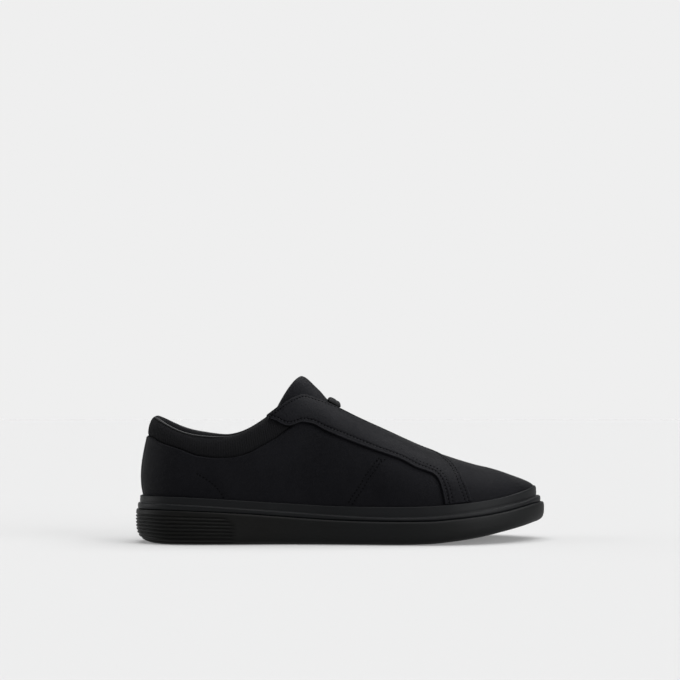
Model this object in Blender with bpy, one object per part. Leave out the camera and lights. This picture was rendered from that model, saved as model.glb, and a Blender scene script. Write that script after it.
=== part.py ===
"""Slip-on sneaker, right foot: rubber outsole, foam cup midsole, hollow leather upper, padded knit
collar, two leather eyestays, elastic gore with its rolled hem, padded tongue and insole.

Sizes are in millimetres and are turned into metres when a mesh is made. X runs from heel to toe,
Y to the wearer's left (the inner side of the foot), Z up. The lateral, outer side is at -Y.
"""

import math
from bisect import bisect_right
from functools import lru_cache

import bmesh
import bpy
from mathutils import Vector
from mathutils.bvhtree import BVHTree

# Overall sizes
LENGTH = 300.0  # heel to toe, over the outsole
BALL_WIDTH = 105.0  # across the outsole at the ball
SOLE_HEIGHT = 33.5  # rubber and foam sidewall at the heel
COLLAR_HEIGHT = 91.1  # top of the heel above the floor
INSTEP_HEIGHT = 97.3  # instep ridge at the top end of the gore
TONGUE_HEIGHT = 120.3  # tip of the tongue above the floor

# Walls and clearances
GAP = 0.3  # between pieces that meet
UPPER_WALL = 2.0
OVERLAY_THICKNESS = 1.3
OVERLAY_GAP = 0.8  # under the eyestays, over the curve of the upper
GORE_THICKNESS = 1.2
GORE_CLEARANCE = 1.0  # round the gore, hidden under the eyestays
CUP_WALL = 1.3  # foam wall around the foot of the upper
CUP_DEPTH = 14.0  # from the rim of the midsole to its floor
INSOLE_THICKNESS = 4.0
INSOLE_EDGE_LIFT = 1.5
OUTSOLE_WALL = 2.9
OUTSOLE_BASE = 5.0
WALL_DRAFT = 0.6  # lean of the outsole's inner wall
INSOLE_BEVEL = 0.8
GORE_SINK = 0.1  # top of the gore below the outside of the upper

# Steps of the sidewall, measured in from the outsole's widest line
FOOT_INSET_HEEL = 3.3  # face of the midsole's upper band at the heel
FOOT_INSET_TOE = 5.8
BAND_INSET_HEEL = 1.8  # face of the midsole's lower band
BAND_INSET_TOE = 2.8
EDGE_ROUND = 0.7  # rounding of the midsole's edges
BAND_LIP = 0.5  # the lower band's underside, set in from its face
STEP_COVE = 0.2  # foot of the upper band, set in from its face

# Ribs moulded round the heel
RIB_COUNT = 8
RIB_PITCH = 2.25
RIB_DEPTH = 0.8
RIB_TOP_DROP = 3.6  # from the groove under the midsole to the first rib
RIB_END = 66.5  # where the ribs fade out along the side
RIB_FADE = 7.0
RIB_LEVELS = (0.16, 0.9)  # the ribs stay between these shares of the sidewall's height

# Tread bars under the outsole
TREAD_DEPTH = 1.6
TREAD_WIDTH = 3.2
TREAD_PITCH = 9.0
TREAD_MARGIN = 11.0
HEEL_TREAD = (26.0, 84.0)
FOREFOOT_TREAD = (128.0, 212.0)

# Throat: the slot in the upper that the gore closes. The eyestays lie over its edges.
# Its places along the shoe stay at the same share of the last, whatever the length.
THROAT_BASE = LENGTH * 0.7067
THROAT_TOP = LENGTH * 0.42
EYESTAY_STRAIGHT_END = LENGTH * 0.7283  # its high edge runs on beside the vamp up to here
EAR_CORNER = LENGTH * 0.4033  # where the eyestay's high edge turns from the rim onto the throat
GORE_TOP = LENGTH * 0.49
THROAT_HALF_BASE = 13.5
THROAT_HALF_TOP = 18.5
OVERLAY_COVER = 3.0  # how far an eyestay reaches over the gore's edge

# Gore hem, a rolled strip across the throat
HEM_LENGTH = 9.0
HEM_THICKNESS = 3.4
HEM_SIDE_GAP = 1.6  # to the eyestays at each end
HEM_RISE = 2.0  # its middle above the gore

# Collar padding
COLLAR_PAD = 8.0  # depth of the padding at its fullest

# Gore and tongue
GORE_END_CROWDING = 1.8  # its stations crowd towards the half round at the throat's base
TONGUE_SWEEP = 1.8  # powers of the tongue's curves across its width
TONGUE_DROOP = 3
TONGUE_THIN_EDGE = 0.45  # share of the padding lost at its sides
TONGUE_SIDE_SPREAD = 0.25

# Places along the section table, in rows counted from the heel
COLLAR_END_ROW = 9.2
EAR_START_ROW = 9.4
INSTEP_ROWS = (12.0, 16.0)  # the upper bends most between these, so its ribs stand closer
THROAT_BASE_ROWS = (17.2, 18.4)  # so do those round the throat's base
RIBS_PER_ROW = {
    "sole": 1.2, "collar": 1.8,
    "heel": 1.2, "ear": 2.0, "instep": 3.4, "vamp": 1.5, "throat": 4.5, "toe": 1.4,
}
HANDLE_LEAN = 0.16  # how far the wall leans out just under a free edge

# Outline of the sole and top line of the upper. Each row is one rib of the last, heel to toe.
# foot_x, top_x: shares of LENGTH. lateral, medial, top_y: shares of BALL_WIDTH.
# top_z: share of the collar height on the collar, of the instep height on the ridge.
# lean: degrees outward at the foot. low, high: fullness above the foot and under the top.
# ridge: 0 where the top is a free edge, 1 where both sides meet on the instep ridge.
# rise: how much higher the collar is on the medial side, a share of COLLAR_HEIGHT.
SECTION_COLUMNS = (
    "foot_x", "lateral", "medial", "top_x", "top_y", "top_z",
    "lean", "low", "high", "ridge", "rise",
)
SECTIONS = (
    (0.000, 0.000, 0.000, 0.035, 0.000, 1.004, 15, 0.34, 0.34, 0.0, 0.000),
    (0.007, 0.114, 0.114, 0.041, 0.090, 0.990, 15, 0.34, 0.34, 0.0, 0.012),
    (0.028, 0.214, 0.214, 0.059, 0.167, 0.957, 13, 0.34, 0.34, 0.0, 0.026),
    (0.067, 0.300, 0.300, 0.088, 0.227, 0.905, 9, 0.34, 0.34, 0.0, 0.034),
    (0.120, 0.350, 0.348, 0.130, 0.272, 0.854, 6, 0.34, 0.34, 0.0, 0.032),
    (0.180, 0.367, 0.360, 0.182, 0.297, 0.838, 5, 0.34, 0.34, 0.0, 0.020),
    (0.240, 0.370, 0.354, 0.227, 0.303, 0.846, 4, 0.34, 0.34, 0.0, 0.008),
    (0.300, 0.370, 0.345, 0.272, 0.295, 0.903, 3, 0.34, 0.34, 0.0, 0.000),
    (0.353, 0.373, 0.341, 0.311, 0.276, 0.984, 3, 0.35, 0.34, 0.0, 0.000),
    (0.400, 0.385, 0.346, 0.343, 0.252, 1.058, 3, 0.36, 0.34, 0.12, 0.000),
    (0.443, 0.402, 0.358, 0.369, 0.218, 1.100, 3, 0.37, 0.34, 0.36, 0.000),
    (0.483, 0.422, 0.377, 0.392, 0.168, 1.104, 3, 0.38, 0.34, 0.68, 0.000),
    (0.520, 0.442, 0.400, 0.409, 0.090, 1.118, 3, 0.39, 0.34, 0.92, 0.000),
    (0.553, 0.459, 0.423, 0.420, 0.000, 1.116, 3, 0.40, 0.34, 1.0, 0.000),
    (0.593, 0.478, 0.450, 0.465, 0.000, 1.035, 3, 0.40, 0.35, 1.0, 0.000),
    (0.640, 0.495, 0.476, 0.519, 0.003, 0.943, 3, 0.39, 0.37, 1.0, 0.000),
    (0.687, 0.503, 0.495, 0.575, 0.008, 0.858, 2, 0.37, 0.40, 1.0, 0.000),
    (0.733, 0.498, 0.503, 0.632, 0.012, 0.773, 1, 0.34, 0.43, 1.0, 0.000),
    (0.777, 0.480, 0.499, 0.685, 0.019, 0.699, 0, 0.32, 0.46, 1.0, 0.000),
    (0.820, 0.443, 0.482, 0.740, 0.027, 0.643, -2, 0.31, 0.48, 1.0, 0.000),
    (0.860, 0.390, 0.453, 0.787, 0.036, 0.596, -5, 0.31, 0.48, 1.0, 0.000),
    (0.897, 0.324, 0.413, 0.828, 0.046, 0.560, -9, 0.31, 0.48, 1.0, 0.000),
    (0.928, 0.252, 0.367, 0.863, 0.053, 0.535, -15, 0.31, 0.46, 1.0, 0.000),
    (0.955, 0.171, 0.310, 0.890, 0.061, 0.510, -22, 0.30, 0.42, 1.0, 0.000),
    (0.977, 0.088, 0.248, 0.911, 0.067, 0.487, -30, 0.30, 0.38, 1.0, 0.000),
    (0.993, 0.000, 0.176, 0.926, 0.072, 0.471, -37, 0.30, 0.34, 1.0, 0.000),
    (1.000, -0.086, 0.086, 0.937, 0.078, 0.456, -40, 0.30, 0.32, 1.0, 0.000),
)
TOE_ROW = len(SECTIONS) - 1

# Heights of the sole's lines along its length, as shares of SOLE_HEIGHT. x: share of LENGTH.
# bottom: underside. groove: top of the outsole. step: between the bands. rim: top of the midsole.
SOLE_COLUMNS = ("x", "bottom", "groove", "step", "rim")
SOLE_LINES = (
    (0.000, 0.070, 0.705, 0.840, 0.990),
    (0.028, 0.030, 0.718, 0.852, 1.004),
    (0.053, 0.008, 0.719, 0.852, 1.006),
    (0.082, 0.000, 0.715, 0.845, 1.002),
    (0.158, 0.000, 0.694, 0.813, 0.974),
    (0.253, 0.000, 0.650, 0.752, 0.921),
    (0.367, 0.000, 0.574, 0.678, 0.856),
    (0.480, 0.000, 0.512, 0.608, 0.803),
    (0.555, 0.000, 0.493, 0.576, 0.794),
    (0.620, 0.000, 0.488, 0.565, 0.794),
    (0.690, 0.015, 0.494, 0.582, 0.808),
    (0.746, 0.060, 0.531, 0.622, 0.842),
    (0.808, 0.130, 0.582, 0.684, 0.888),
    (0.872, 0.228, 0.657, 0.772, 0.966),
    (0.931, 0.316, 0.749, 0.857, 1.075),
    (0.969, 0.370, 0.800, 0.930, 1.156),
    (1.000, 0.388, 0.812, 0.962, 1.175),
)

# Sidewall of the outsole from its underside to the groove: share of that height, inset in mm.
SIDEWALL_COLUMNS = ("level", "inset")
SIDEWALL = (
    (0.00, 8.5),
    (0.05, 5.2),
    (0.13, 2.6),
    (0.26, 1.0),
    (0.50, 0.15),
    (0.74, 0.0),
    (0.93, 0.3),
    (1.00, 1.0),
)

# Seam between the leather and the knit collar, seen from the side.
# x: share of LENGTH. z: share of COLLAR_HEIGHT.
SEAM_COLUMNS = ("x", "z")
COLLAR_SEAM = (
    (0.010, 0.840),
    (0.035, 0.829),
    (0.058, 0.789),
    (0.107, 0.735),
    (0.153, 0.682),
    (0.199, 0.666),
    (0.234, 0.673),
    (0.268, 0.703),
    (0.305, 0.769),
    (0.331, 0.816),
    (0.354, 0.872),
    (0.387, 0.962),
)

# The eyestay's two edges seen from the side, from its ear at the collar to its foot at the sole.
# x: shares of LENGTH. z: shares of INSTEP_HEIGHT. Along the rim and the throat the high edge
# follows those, and high_z isn't used.
EYESTAY_COLUMNS = ("low_x", "low_z", "high_x", "high_z")
EYESTAY = (
    (0.315, 0.905, 0.317, 0.932),
    (0.334, 0.886, 0.340, 0.989),
    (0.347, 0.863, 0.356, 1.026),
    (0.363, 0.856, 0.370, 1.055),
    (0.376, 0.870, 0.384, 1.081),
    (0.395, 0.890, 0.401, 1.091),
    (0.417, 0.879, 0.424, 1.071),
    (0.449, 0.829, 0.459, 1.021),
    (0.505, 0.751, 0.521, 0.919),
    (0.562, 0.675, 0.584, 0.806),
    (0.626, 0.604, 0.653, 0.714),
    (0.662, 0.546, 0.700, 0.664),
    (0.684, 0.522, 0.725, 0.630),
    (0.700, 0.501, 0.744, 0.609),
    (0.711, 0.465, 0.758, 0.568),
    (0.717, 0.415, 0.768, 0.503),
    (0.721, 0.360, 0.778, 0.427),
    (0.724, 0.312, 0.787, 0.349),
)

# Padded collar in section, round from the seam over the rim and down inside.
# up: share of the band's height above the seam. depth: share of COLLAR_PAD.
COLLAR_COLUMNS = ("up", "depth")
COLLAR_SECTION = (
    (0.03, 0.29),
    (0.14, 0.24),
    (0.45, 0.20),
    (0.75, 0.24),
    (0.93, 0.36),
    (1.00, 0.55),
    (0.93, 0.76),
    (0.72, 0.93),
    (0.40, 1.00),
    (0.08, 0.93),
    (-0.22, 0.72),
    (-0.42, 0.42),
    (-0.40, 0.36),
    (-0.06, 0.35),
)

# Tongue along its middle line, from its foot under the gore to the tip.
# x: share of LENGTH. lift: above the instep ridge, carried on to the tip, in mm. half: half width.
# drop: how far its sides hang. back: how far they sweep back. thick: its padding.
TONGUE_COLUMNS = ("x", "lift", "half", "drop", "thick", "back")
TONGUE = (
    (0.682, -3.8, 9.0, 1.6, 2.4, 0.0),
    (0.632, -3.4, 11.5, 2.8, 2.6, 0.0),
    (0.572, -3.2, 13.0, 4.5, 2.8, 0.0),
    (0.522, -2.8, 14.0, 6.5, 3.0, 0.5),
    (0.492, -2.3, 14.6, 8.8, 3.4, 1.5),
    (0.462, 1.2, 15.2, 13.0, 4.0, 5.0),
    (0.443, 4.2, 15.6, 17.5, 4.6, 9.0),
    (0.426, 6.6, 15.9, 22.5, 5.2, 13.5),
    (0.409, 9.1, 15.9, 26.5, 5.4, 17.5),
    (0.399, 9.7, 15.4, 27.4, 3.4, 18.4),
)

SHELL_ROWS = 9
SHELL_STEPS = range(1, SHELL_ROWS + 1)
MM = 0.001


def column(table, names, name):
    return [row[names.index(name)] for row in table]


class Curve:
    """The curve through a table's points, without overshoot between them."""

    def __init__(self, xs, ys, flat_ends=False):
        self.xs, self.ys, self.flat_ends = list(xs), list(ys), flat_ends
        count = len(self.xs)
        self.steps = [self.xs[k + 1] - self.xs[k] for k in range(count - 1)]
        self.rises = [(self.ys[k + 1] - self.ys[k]) / self.steps[k] for k in range(count - 1)]
        self.slopes = [self.slope(k) for k in range(count)]

    def slope(self, k):
        steps, rises = self.steps, self.rises
        if k in (0, len(steps)):
            if self.flat_ends:
                return 0.0
            near, far = (0, 1) if k == 0 else (-1, -2)
            end = (2 * steps[near] + steps[far]) * rises[near] - steps[near] * rises[far]
            end /= steps[near] + steps[far]
            return end if end * rises[near] > 0 else 0.0
        if rises[k - 1] * rises[k] <= 0:
            return 0.0
        before = 2 * steps[k] + steps[k - 1]
        after = steps[k] + 2 * steps[k - 1]
        return (before + after) / (before / rises[k - 1] + after / rises[k])

    def __call__(self, x):
        if x <= self.xs[0]:
            return self.ys[0]
        if x >= self.xs[-1]:
            return self.ys[-1]
        i = bisect_right(self.xs, x) - 1
        h = self.steps[i]
        u = (x - self.xs[i]) / h
        ends = self.ys[i] * (1 + 2 * u) * (1 - u) ** 2 + self.ys[i + 1] * u * u * (3 - 2 * u)
        bend = self.slopes[i] * u * (1 - u) ** 2 - self.slopes[i + 1] * u * u * (1 - u)
        return ends + h * bend


def curves(table, names, by=None, flat=()):
    """One curve for each column of a table, over the column named by, or over its rows."""
    xs = range(len(table)) if by is None else column(table, names, by)
    others = [name for name in names if name != by]
    return {name: Curve(xs, column(table, names, name), name in flat) for name in others}


# Both sides of the shoe meet squarely in these columns, at the heel and at the toe.
SECTION = curves(SECTIONS, SECTION_COLUMNS, flat=("foot_x", "top_x", "top_z"))
SOLE = curves(SOLE_LINES, SOLE_COLUMNS, "x")
WALL = curves(SIDEWALL, SIDEWALL_COLUMNS, "level")
SEAM = curves(COLLAR_SEAM, SEAM_COLUMNS, "x")
EYESTAY_EDGES = curves(EYESTAY, EYESTAY_COLUMNS)
TONGUE_LINES = curves(TONGUE, TONGUE_COLUMNS)
RIDGE_START = column(SECTIONS, SECTION_COLUMNS, "ridge").index(1.0)
RIDGE = curves(SECTIONS[RIDGE_START:], SECTION_COLUMNS, "top_x")


def section(name, row):
    return SECTION[name](row)


def sole_height(line, x):
    """Height of one of the sole's lines at x, in mm."""
    return SOLE_HEIGHT * SOLE[line](x / LENGTH)


def outline(side, row):
    """Point of the outsole's widest outline, side -1 lateral, +1 medial."""
    width = section("lateral" if side < 0 else "medial", row)
    return Vector((LENGTH * section("foot_x", row), side * BALL_WIDTH * width, 0.0))


@lru_cache(maxsize=None)
def outline_normal(side, row):
    """Outward direction of the outline, in plan."""
    if row in (0, TOE_ROW):
        return Vector((-1.0 if row == 0 else 1.0, 0.0, 0.0))
    step = 0.05
    after = outline(side, min(row + step, TOE_ROW))
    before = outline(side, max(row - step, 0))
    along = (after - before).normalized()
    return Vector((-side * along.y, side * along.x, 0.0))


def inset(side, row, distance):
    return outline(side, row) - outline_normal(side, row) * distance


def along_share(row):
    return section("foot_x", row)


def foot_inset(row):
    """Inset of the midsole's upper band at this row."""
    return FOOT_INSET_HEEL + (FOOT_INSET_TOE - FOOT_INSET_HEEL) * along_share(row)


def band_inset(row):
    return BAND_INSET_HEEL + (BAND_INSET_TOE - BAND_INSET_HEEL) * along_share(row)


def upper_inset(row):
    return foot_inset(row) + CUP_WALL + GAP


def top_point(side, row):
    """Point of the collar rim, of the mouth or of the instep ridge."""
    ridge = section("ridge", row)
    y = BALL_WIDTH * section("top_y", row)
    if row < RIDGE_START:
        y *= side
    height = COLLAR_HEIGHT + (INSTEP_HEIGHT - COLLAR_HEIGHT) * ridge
    z = height * section("top_z", row)
    if side > 0:
        z += COLLAR_HEIGHT * section("rise", row)
    return Vector((LENGTH * section("top_x", row), y, z))


def ridge_slope(row):
    """Rise of the instep ridge over its run at a row."""
    step = 0.2
    after = top_point(-1, min(row + step, TOE_ROW))
    before = top_point(-1, max(row - step, RIDGE_START))
    return (after.z - before.z) / (after.x - before.x)


@lru_cache(maxsize=None)
def rib(side, row):
    """The four control points of one rib of the last, from the foot to the top."""
    out = outline_normal(side, row)
    foot = inset(side, row, upper_inset(row))
    foot.z = sole_height("rim", foot.x)
    top = top_point(side, row)
    span = (top - foot).length
    lean = math.radians(section("lean", row))
    low = foot + (out * math.sin(lean) + Vector((0, 0, math.cos(lean)))) * span * section("low", row)
    away = Vector((foot.x - top.x, foot.y - top.y, 0.0)).normalized()
    slope = ridge_slope(max(row, RIDGE_START))
    over_ridge = Vector((away.x, away.y, away.x * slope)).normalized()
    down_wall = Vector((out.x * HANDLE_LEAN, out.y * HANDLE_LEAN, -1.0)).normalized()
    ridge = section("ridge", row)
    pull = (down_wall * (1 - ridge) + over_ridge * ridge).normalized()
    high = top + pull * span * section("high", row)
    return foot, low, high, top


def form(side, row, v):
    """Point on the outside of the last: v is 0 at the foot and 1 at the top."""
    foot, low, high, top = rib(side, row)
    u = 1 - v
    return foot * u ** 3 + low * 3 * u * u * v + high * 3 * u * v * v + top * v ** 3


def form_normal(side, row, v):
    step = 0.02
    v = min(max(v, 0.0), 1.0)
    if v == 1.0 and row >= RIDGE_START:
        return Vector((-ridge_slope(row), 0.0, 1.0)).normalized()
    across = form(side, row, min(v + step, 1.0)) - form(side, row, max(v - step, 0.0))
    if row in (0, TOE_ROW):
        beside = abs(row - 0.2)
        along = (form(side, beside, v) - form(-side, beside, v)) * (1 if row == 0 else -1)
    else:
        along = form(side, min(row + step, TOE_ROW), v) - form(side, max(row - step, 0.0), v)
    return (along.cross(across) * -side).normalized()


def shell_point(side, row, v, offset):
    """Point at an offset from the last's outside, outward positive."""
    return form(side, row, v) + form_normal(side, row, v) * offset


def solve(test, low, high):
    """The v between low and high where test changes from true at high to false at low."""
    for _ in range(22):
        middle = (low + high) / 2
        if test(middle):
            high = middle
        else:
            low = middle
    return (low + high) / 2


def seam_share(side, row):
    """v of the collar seam on a rib."""

    def above(v):
        p = form(side, row, v)
        rise = section("rise", row) if side > 0 else 0.0
        return p.z > COLLAR_HEIGHT * (SEAM["z"](p.x / LENGTH) + rise)

    return solve(above, 0.0, 1.0)


def middle_y(x):
    """Middle line of the instep in plan."""
    return BALL_WIDTH * RIDGE["top_y"](x / LENGTH)


def throat_side(x, cover=0.0):
    """Half width at x between the straight sides of the throat slot."""
    share = min(max((THROAT_BASE - x) / (THROAT_BASE - THROAT_TOP), 0.0), 1.0)
    return THROAT_HALF_BASE + (THROAT_HALF_TOP - THROAT_HALF_BASE) * share - cover


def throat_half(x, cover=0.0):
    """Half width of the throat slot at x. It ends in a half round at the throat's base."""
    half = throat_side(x, cover)
    base = THROAT_BASE - cover
    into_end = x - (base - half)
    if into_end <= 0:
        return half
    if into_end >= half:
        return 0.0
    return math.sqrt(half * half - into_end * into_end)


def throat_share(side, row, width=throat_half, cover=0.0):
    """v where a rib meets the edge of the throat slot, or 1 where it misses it."""

    def in_slot(v):
        p = form(side, row, v)
        return abs(p.y - middle_y(p.x)) < width(p.x, cover)

    if not in_slot(0.9995):
        return 1.0
    return solve(in_slot, 0.3, 0.9995)


def place_on_side(side, x, z):
    """Row and v of the last's point that is seen at (x, z) from the side."""

    def share(row):
        return solve(lambda v: form(side, row, v).z > z, 0.0, 1.0)

    row = solve(lambda r: form(side, r, share(r)).x > x, 0.0, TOE_ROW)
    return row, share(row)


def place_on_rim(side, x):
    return solve(lambda row: top_point(side, row).x > x, 0.0, TOE_ROW), 1.0


def place_on_throat(side, x):
    """Row and v of the point at x on an eyestay's edge along the throat."""

    def share(row):
        return throat_share(side, row, throat_side, OVERLAY_COVER)

    row = solve(lambda r: form(side, r, share(r)).x > x, RIDGE_START - 4, TOE_ROW)
    return row, share(row)


# Blender helpers


def new_collection(name):
    collection = bpy.data.collections.new(name)
    bpy.context.scene.collection.children.link(collection)
    return collection


def material(name, colour, roughness, metallic=0.0):
    made = bpy.data.materials.new(name)
    made.use_nodes = True
    shader = made.node_tree.nodes["Principled BSDF"]
    shader.inputs["Base Color"].default_value = (*colour, 1.0)
    shader.inputs["Roughness"].default_value = roughness
    shader.inputs["Metallic"].default_value = metallic
    made.diffuse_color = (*colour, 1.0)
    return made


def mesh_object(name, points, faces, finish, collection, weld=0.02):
    """A mesh from points in mm, moved so that the shoe is centred over the origin."""
    mesh = bpy.data.meshes.new(name)
    work = bmesh.new()
    verts = [work.verts.new((p - CENTRE) * MM) for p in points]
    for face in faces:
        corners = [verts[i] for i in face]
        work.faces.new(corners)
    bmesh.ops.remove_doubles(work, verts=work.verts, dist=weld * MM)
    bmesh.ops.dissolve_degenerate(work, edges=work.edges, dist=weld * MM * 0.5)
    bmesh.ops.recalc_face_normals(work, faces=work.faces)
    work.to_mesh(mesh)
    work.free()
    mesh.shade_smooth()
    mesh.set_sharp_from_angle(angle=math.radians(35))
    made = bpy.data.objects.new(name, mesh)
    made.data.materials.append(finish)
    collection.objects.link(made)
    return made


def even_rows(first, last, per_row):
    """Rows from first to last, evenly spaced."""
    count = max(2, round((last - first) * per_row))
    return [first + (last - first) * i / count for i in range(count)] + [last]


def loop_stations(rows):
    """(side, row) once round the shoe: lateral from heel to toe, medial back to the heel."""
    medial = [row for row in rows if 0 < row < TOE_ROW]
    return [(-1, row) for row in rows] + [(1, row) for row in reversed(medial)]


def ladder(stations, start):
    """Faces that close a loop of points with rungs from the lateral to the medial side."""
    count = len(stations)
    half = count // 2
    faces = []
    for i in range(half):
        a, b = start + i, start + i + 1
        c, d = start + (count - i - 1) % count, start + (count - i) % count
        corners = []
        for corner in (a, b, c, d):
            if corner not in corners:
                corners.append(corner)
        if len(corners) > 2:
            faces.append(corners)
    return faces


def ring_solid(name, stations, rings, finish, collection):
    """A solid from rings of points, its first and last ring closed by ladders."""
    count = len(stations)
    points = [p for ring in rings for p in ring]
    faces = []
    for r in range(len(rings) - 1):
        for i in range(count):
            j = (i + 1) % count
            low, high = r * count, (r + 1) * count
            faces.append((low + i, low + j, high + j, high + i))
    faces += ladder(stations, 0)
    faces += ladder(stations, (len(rings) - 1) * count)
    return mesh_object(name, points, faces, finish, collection)


def at(point, z):
    return Vector((point.x, point.y, z))


# Sole


def rib_depth(side, row):
    """Depth of the heel ribs at a row, fading out along the side."""
    x = outline(side, row).x
    share = min(max((RIB_END - x) / RIB_FADE, 0.0), 1.0)
    return RIB_DEPTH * share * share * (3 - 2 * share)


def sidewall_rings(stations):
    """Rings of the outsole's side, from the underside to the groove, with the ribs put in."""
    heel_bottom, heel_groove = sole_height("bottom", 0.0), sole_height("groove", 0.0)
    height = heel_groove - heel_bottom
    wall_levels = column(SIDEWALL, SIDEWALL_COLUMNS, "level")
    levels = [(level, 0.0) for level in wall_levels if level < RIB_LEVELS[0]]
    for k in range(RIB_COUNT):
        crest = heel_groove - RIB_TOP_DROP - k * RIB_PITCH
        level = (crest - heel_bottom) / height
        if level < RIB_LEVELS[0]:
            break
        levels.append((level, 1.0))
        levels.append((level + 0.5 * RIB_PITCH / height, 0.0))
    levels += [(level, 0.0) for level in wall_levels if level > RIB_LEVELS[1]]
    rings = []
    for level, cut in sorted(levels):
        ring = []
        for side, row in stations:
            depth = WALL["inset"](level) + cut * rib_depth(side, row)
            p = inset(side, row, depth)
            bottom, groove = sole_height("bottom", p.x), sole_height("groove", p.x)
            ring.append(at(p, bottom + (groove - bottom) * level))
        rings.append(ring)
    return rings


def wall_ring(stations, distance, line, drop=0.0):
    """A ring at an inset from the outline, on one of the sole's lines less a drop."""
    ring = []
    for side, row in stations:
        p = inset(side, row, distance(row))
        ring.append(at(p, sole_height(line, p.x) - drop))
    return ring


def make_outsole(collection, cutters, finish):
    rows = even_rows(0, TOE_ROW, RIBS_PER_ROW["sole"])
    stations = loop_stations(rows)
    rings = sidewall_rings(stations)
    rings.append(wall_ring(stations, lambda row: OUTSOLE_WALL, "groove"))
    rings.append(wall_ring(stations, lambda row: OUTSOLE_WALL + WALL_DRAFT, "bottom", -OUTSOLE_BASE))
    outsole = ring_solid("outsole", stations, rings, finish, collection)
    for first, last in (HEEL_TREAD, FOREFOOT_TREAD):
        for k in range(int((last - first) / TREAD_PITCH) + 1):
            cut_tread_bar(outsole, first + k * TREAD_PITCH, cutters)
    return outsole


def cut_tread_bar(outsole, x, cutters):
    """One groove across the tread, kept inside the outsole's edge."""
    row = solve(lambda r: LENGTH * section("foot_x", r) > x, 0, TOE_ROW)
    right = inset(-1, row, TREAD_MARGIN).y
    left = inset(1, row, TREAD_MARGIN).y
    bpy.ops.mesh.primitive_cube_add(size=1.0)
    cutter = bpy.context.object
    cutter.name = f"tread_cutter_{round(x)}"
    cutter.scale = Vector((TREAD_WIDTH, left - right, 2 * TREAD_DEPTH)) * MM
    cutter.location = (Vector((x, (left + right) / 2, 0.0)) - CENTRE) * MM
    cutter.hide_render = True
    cutter.display_type = "WIRE"
    for owner in list(cutter.users_collection):
        owner.objects.unlink(cutter)
    cutters.objects.link(cutter)
    groove = outsole.modifiers.new(cutter.name, "BOOLEAN")
    groove.operation = "DIFFERENCE"
    groove.object = cutter


def cup_floor(x):
    return sole_height("rim", x) - CUP_DEPTH


def make_midsole(collection, finish):
    """Foam cup: plug in the outsole, lower band, set-back upper band, rim, inner wall, floor."""
    stations = loop_stations(even_rows(0, TOE_ROW, RIBS_PER_ROW["sole"]))

    def plug(row):
        return OUTSOLE_WALL + GAP + WALL_DRAFT

    def inner(row):
        return foot_inset(row) + CUP_WALL

    rings = [
        wall_ring(stations, plug, "bottom", -(OUTSOLE_BASE + GAP)),
        wall_ring(stations, lambda row: plug(row) - WALL_DRAFT / 2, "groove", -GAP),
        wall_ring(stations, lambda row: band_inset(row) + BAND_LIP, "groove", -GAP),
        wall_ring(stations, band_inset, "groove", -2 * GAP - EDGE_ROUND),
        wall_ring(stations, band_inset, "step", EDGE_ROUND),
        wall_ring(stations, lambda row: band_inset(row) + EDGE_ROUND, "step"),
        wall_ring(stations, lambda row: foot_inset(row) + STEP_COVE, "step"),
        wall_ring(stations, foot_inset, "step", -EDGE_ROUND),
        wall_ring(stations, foot_inset, "rim", EDGE_ROUND),
        wall_ring(stations, lambda row: foot_inset(row) + CUP_WALL / 2, "rim"),
        wall_ring(stations, inner, "rim", 0.3 * EDGE_ROUND),
        wall_ring(stations, inner, "rim", CUP_DEPTH),
    ]
    return ring_solid("midsole", stations, rings, finish, collection)


def make_insole(collection, finish):
    """Sock lining on the cup's floor, its edge turned up a little against the upper."""
    stations = loop_stations(even_rows(0, TOE_ROW, RIBS_PER_ROW["sole"]))

    def edge(row):
        return upper_inset(row) + UPPER_WALL + 2 * GAP

    def on_floor(distance, height):
        ring = []
        for side, row in stations:
            p = inset(side, row, edge(row) + distance)
            ring.append(at(p, cup_floor(p.x) + GAP + height))
        return ring

    rings = [
        on_floor(INSOLE_BEVEL, 0.0),
        on_floor(0.0, INSOLE_BEVEL),
        on_floor(0.0, INSOLE_THICKNESS + INSOLE_EDGE_LIFT - INSOLE_BEVEL),
        on_floor(INSOLE_BEVEL, INSOLE_THICKNESS + INSOLE_EDGE_LIFT),
        on_floor(3.0, INSOLE_THICKNESS + 0.4 * INSOLE_EDGE_LIFT),
        on_floor(6.0, INSOLE_THICKNESS),
    ]
    return ring_solid("insole", stations, rings, finish, collection)


# Upper


def upper_top(side, row):
    """v of the upper's top edge: collar seam, mouth, throat slot or instep ridge."""
    if row <= COLLAR_END_ROW:
        return seam_share(side, row)
    lateral, medial = throat_share(-1, row), throat_share(1, row)
    if row > RIDGE_START and 1.0 in (lateral, medial):
        return 1.0
    return lateral if side < 0 else medial


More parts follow.
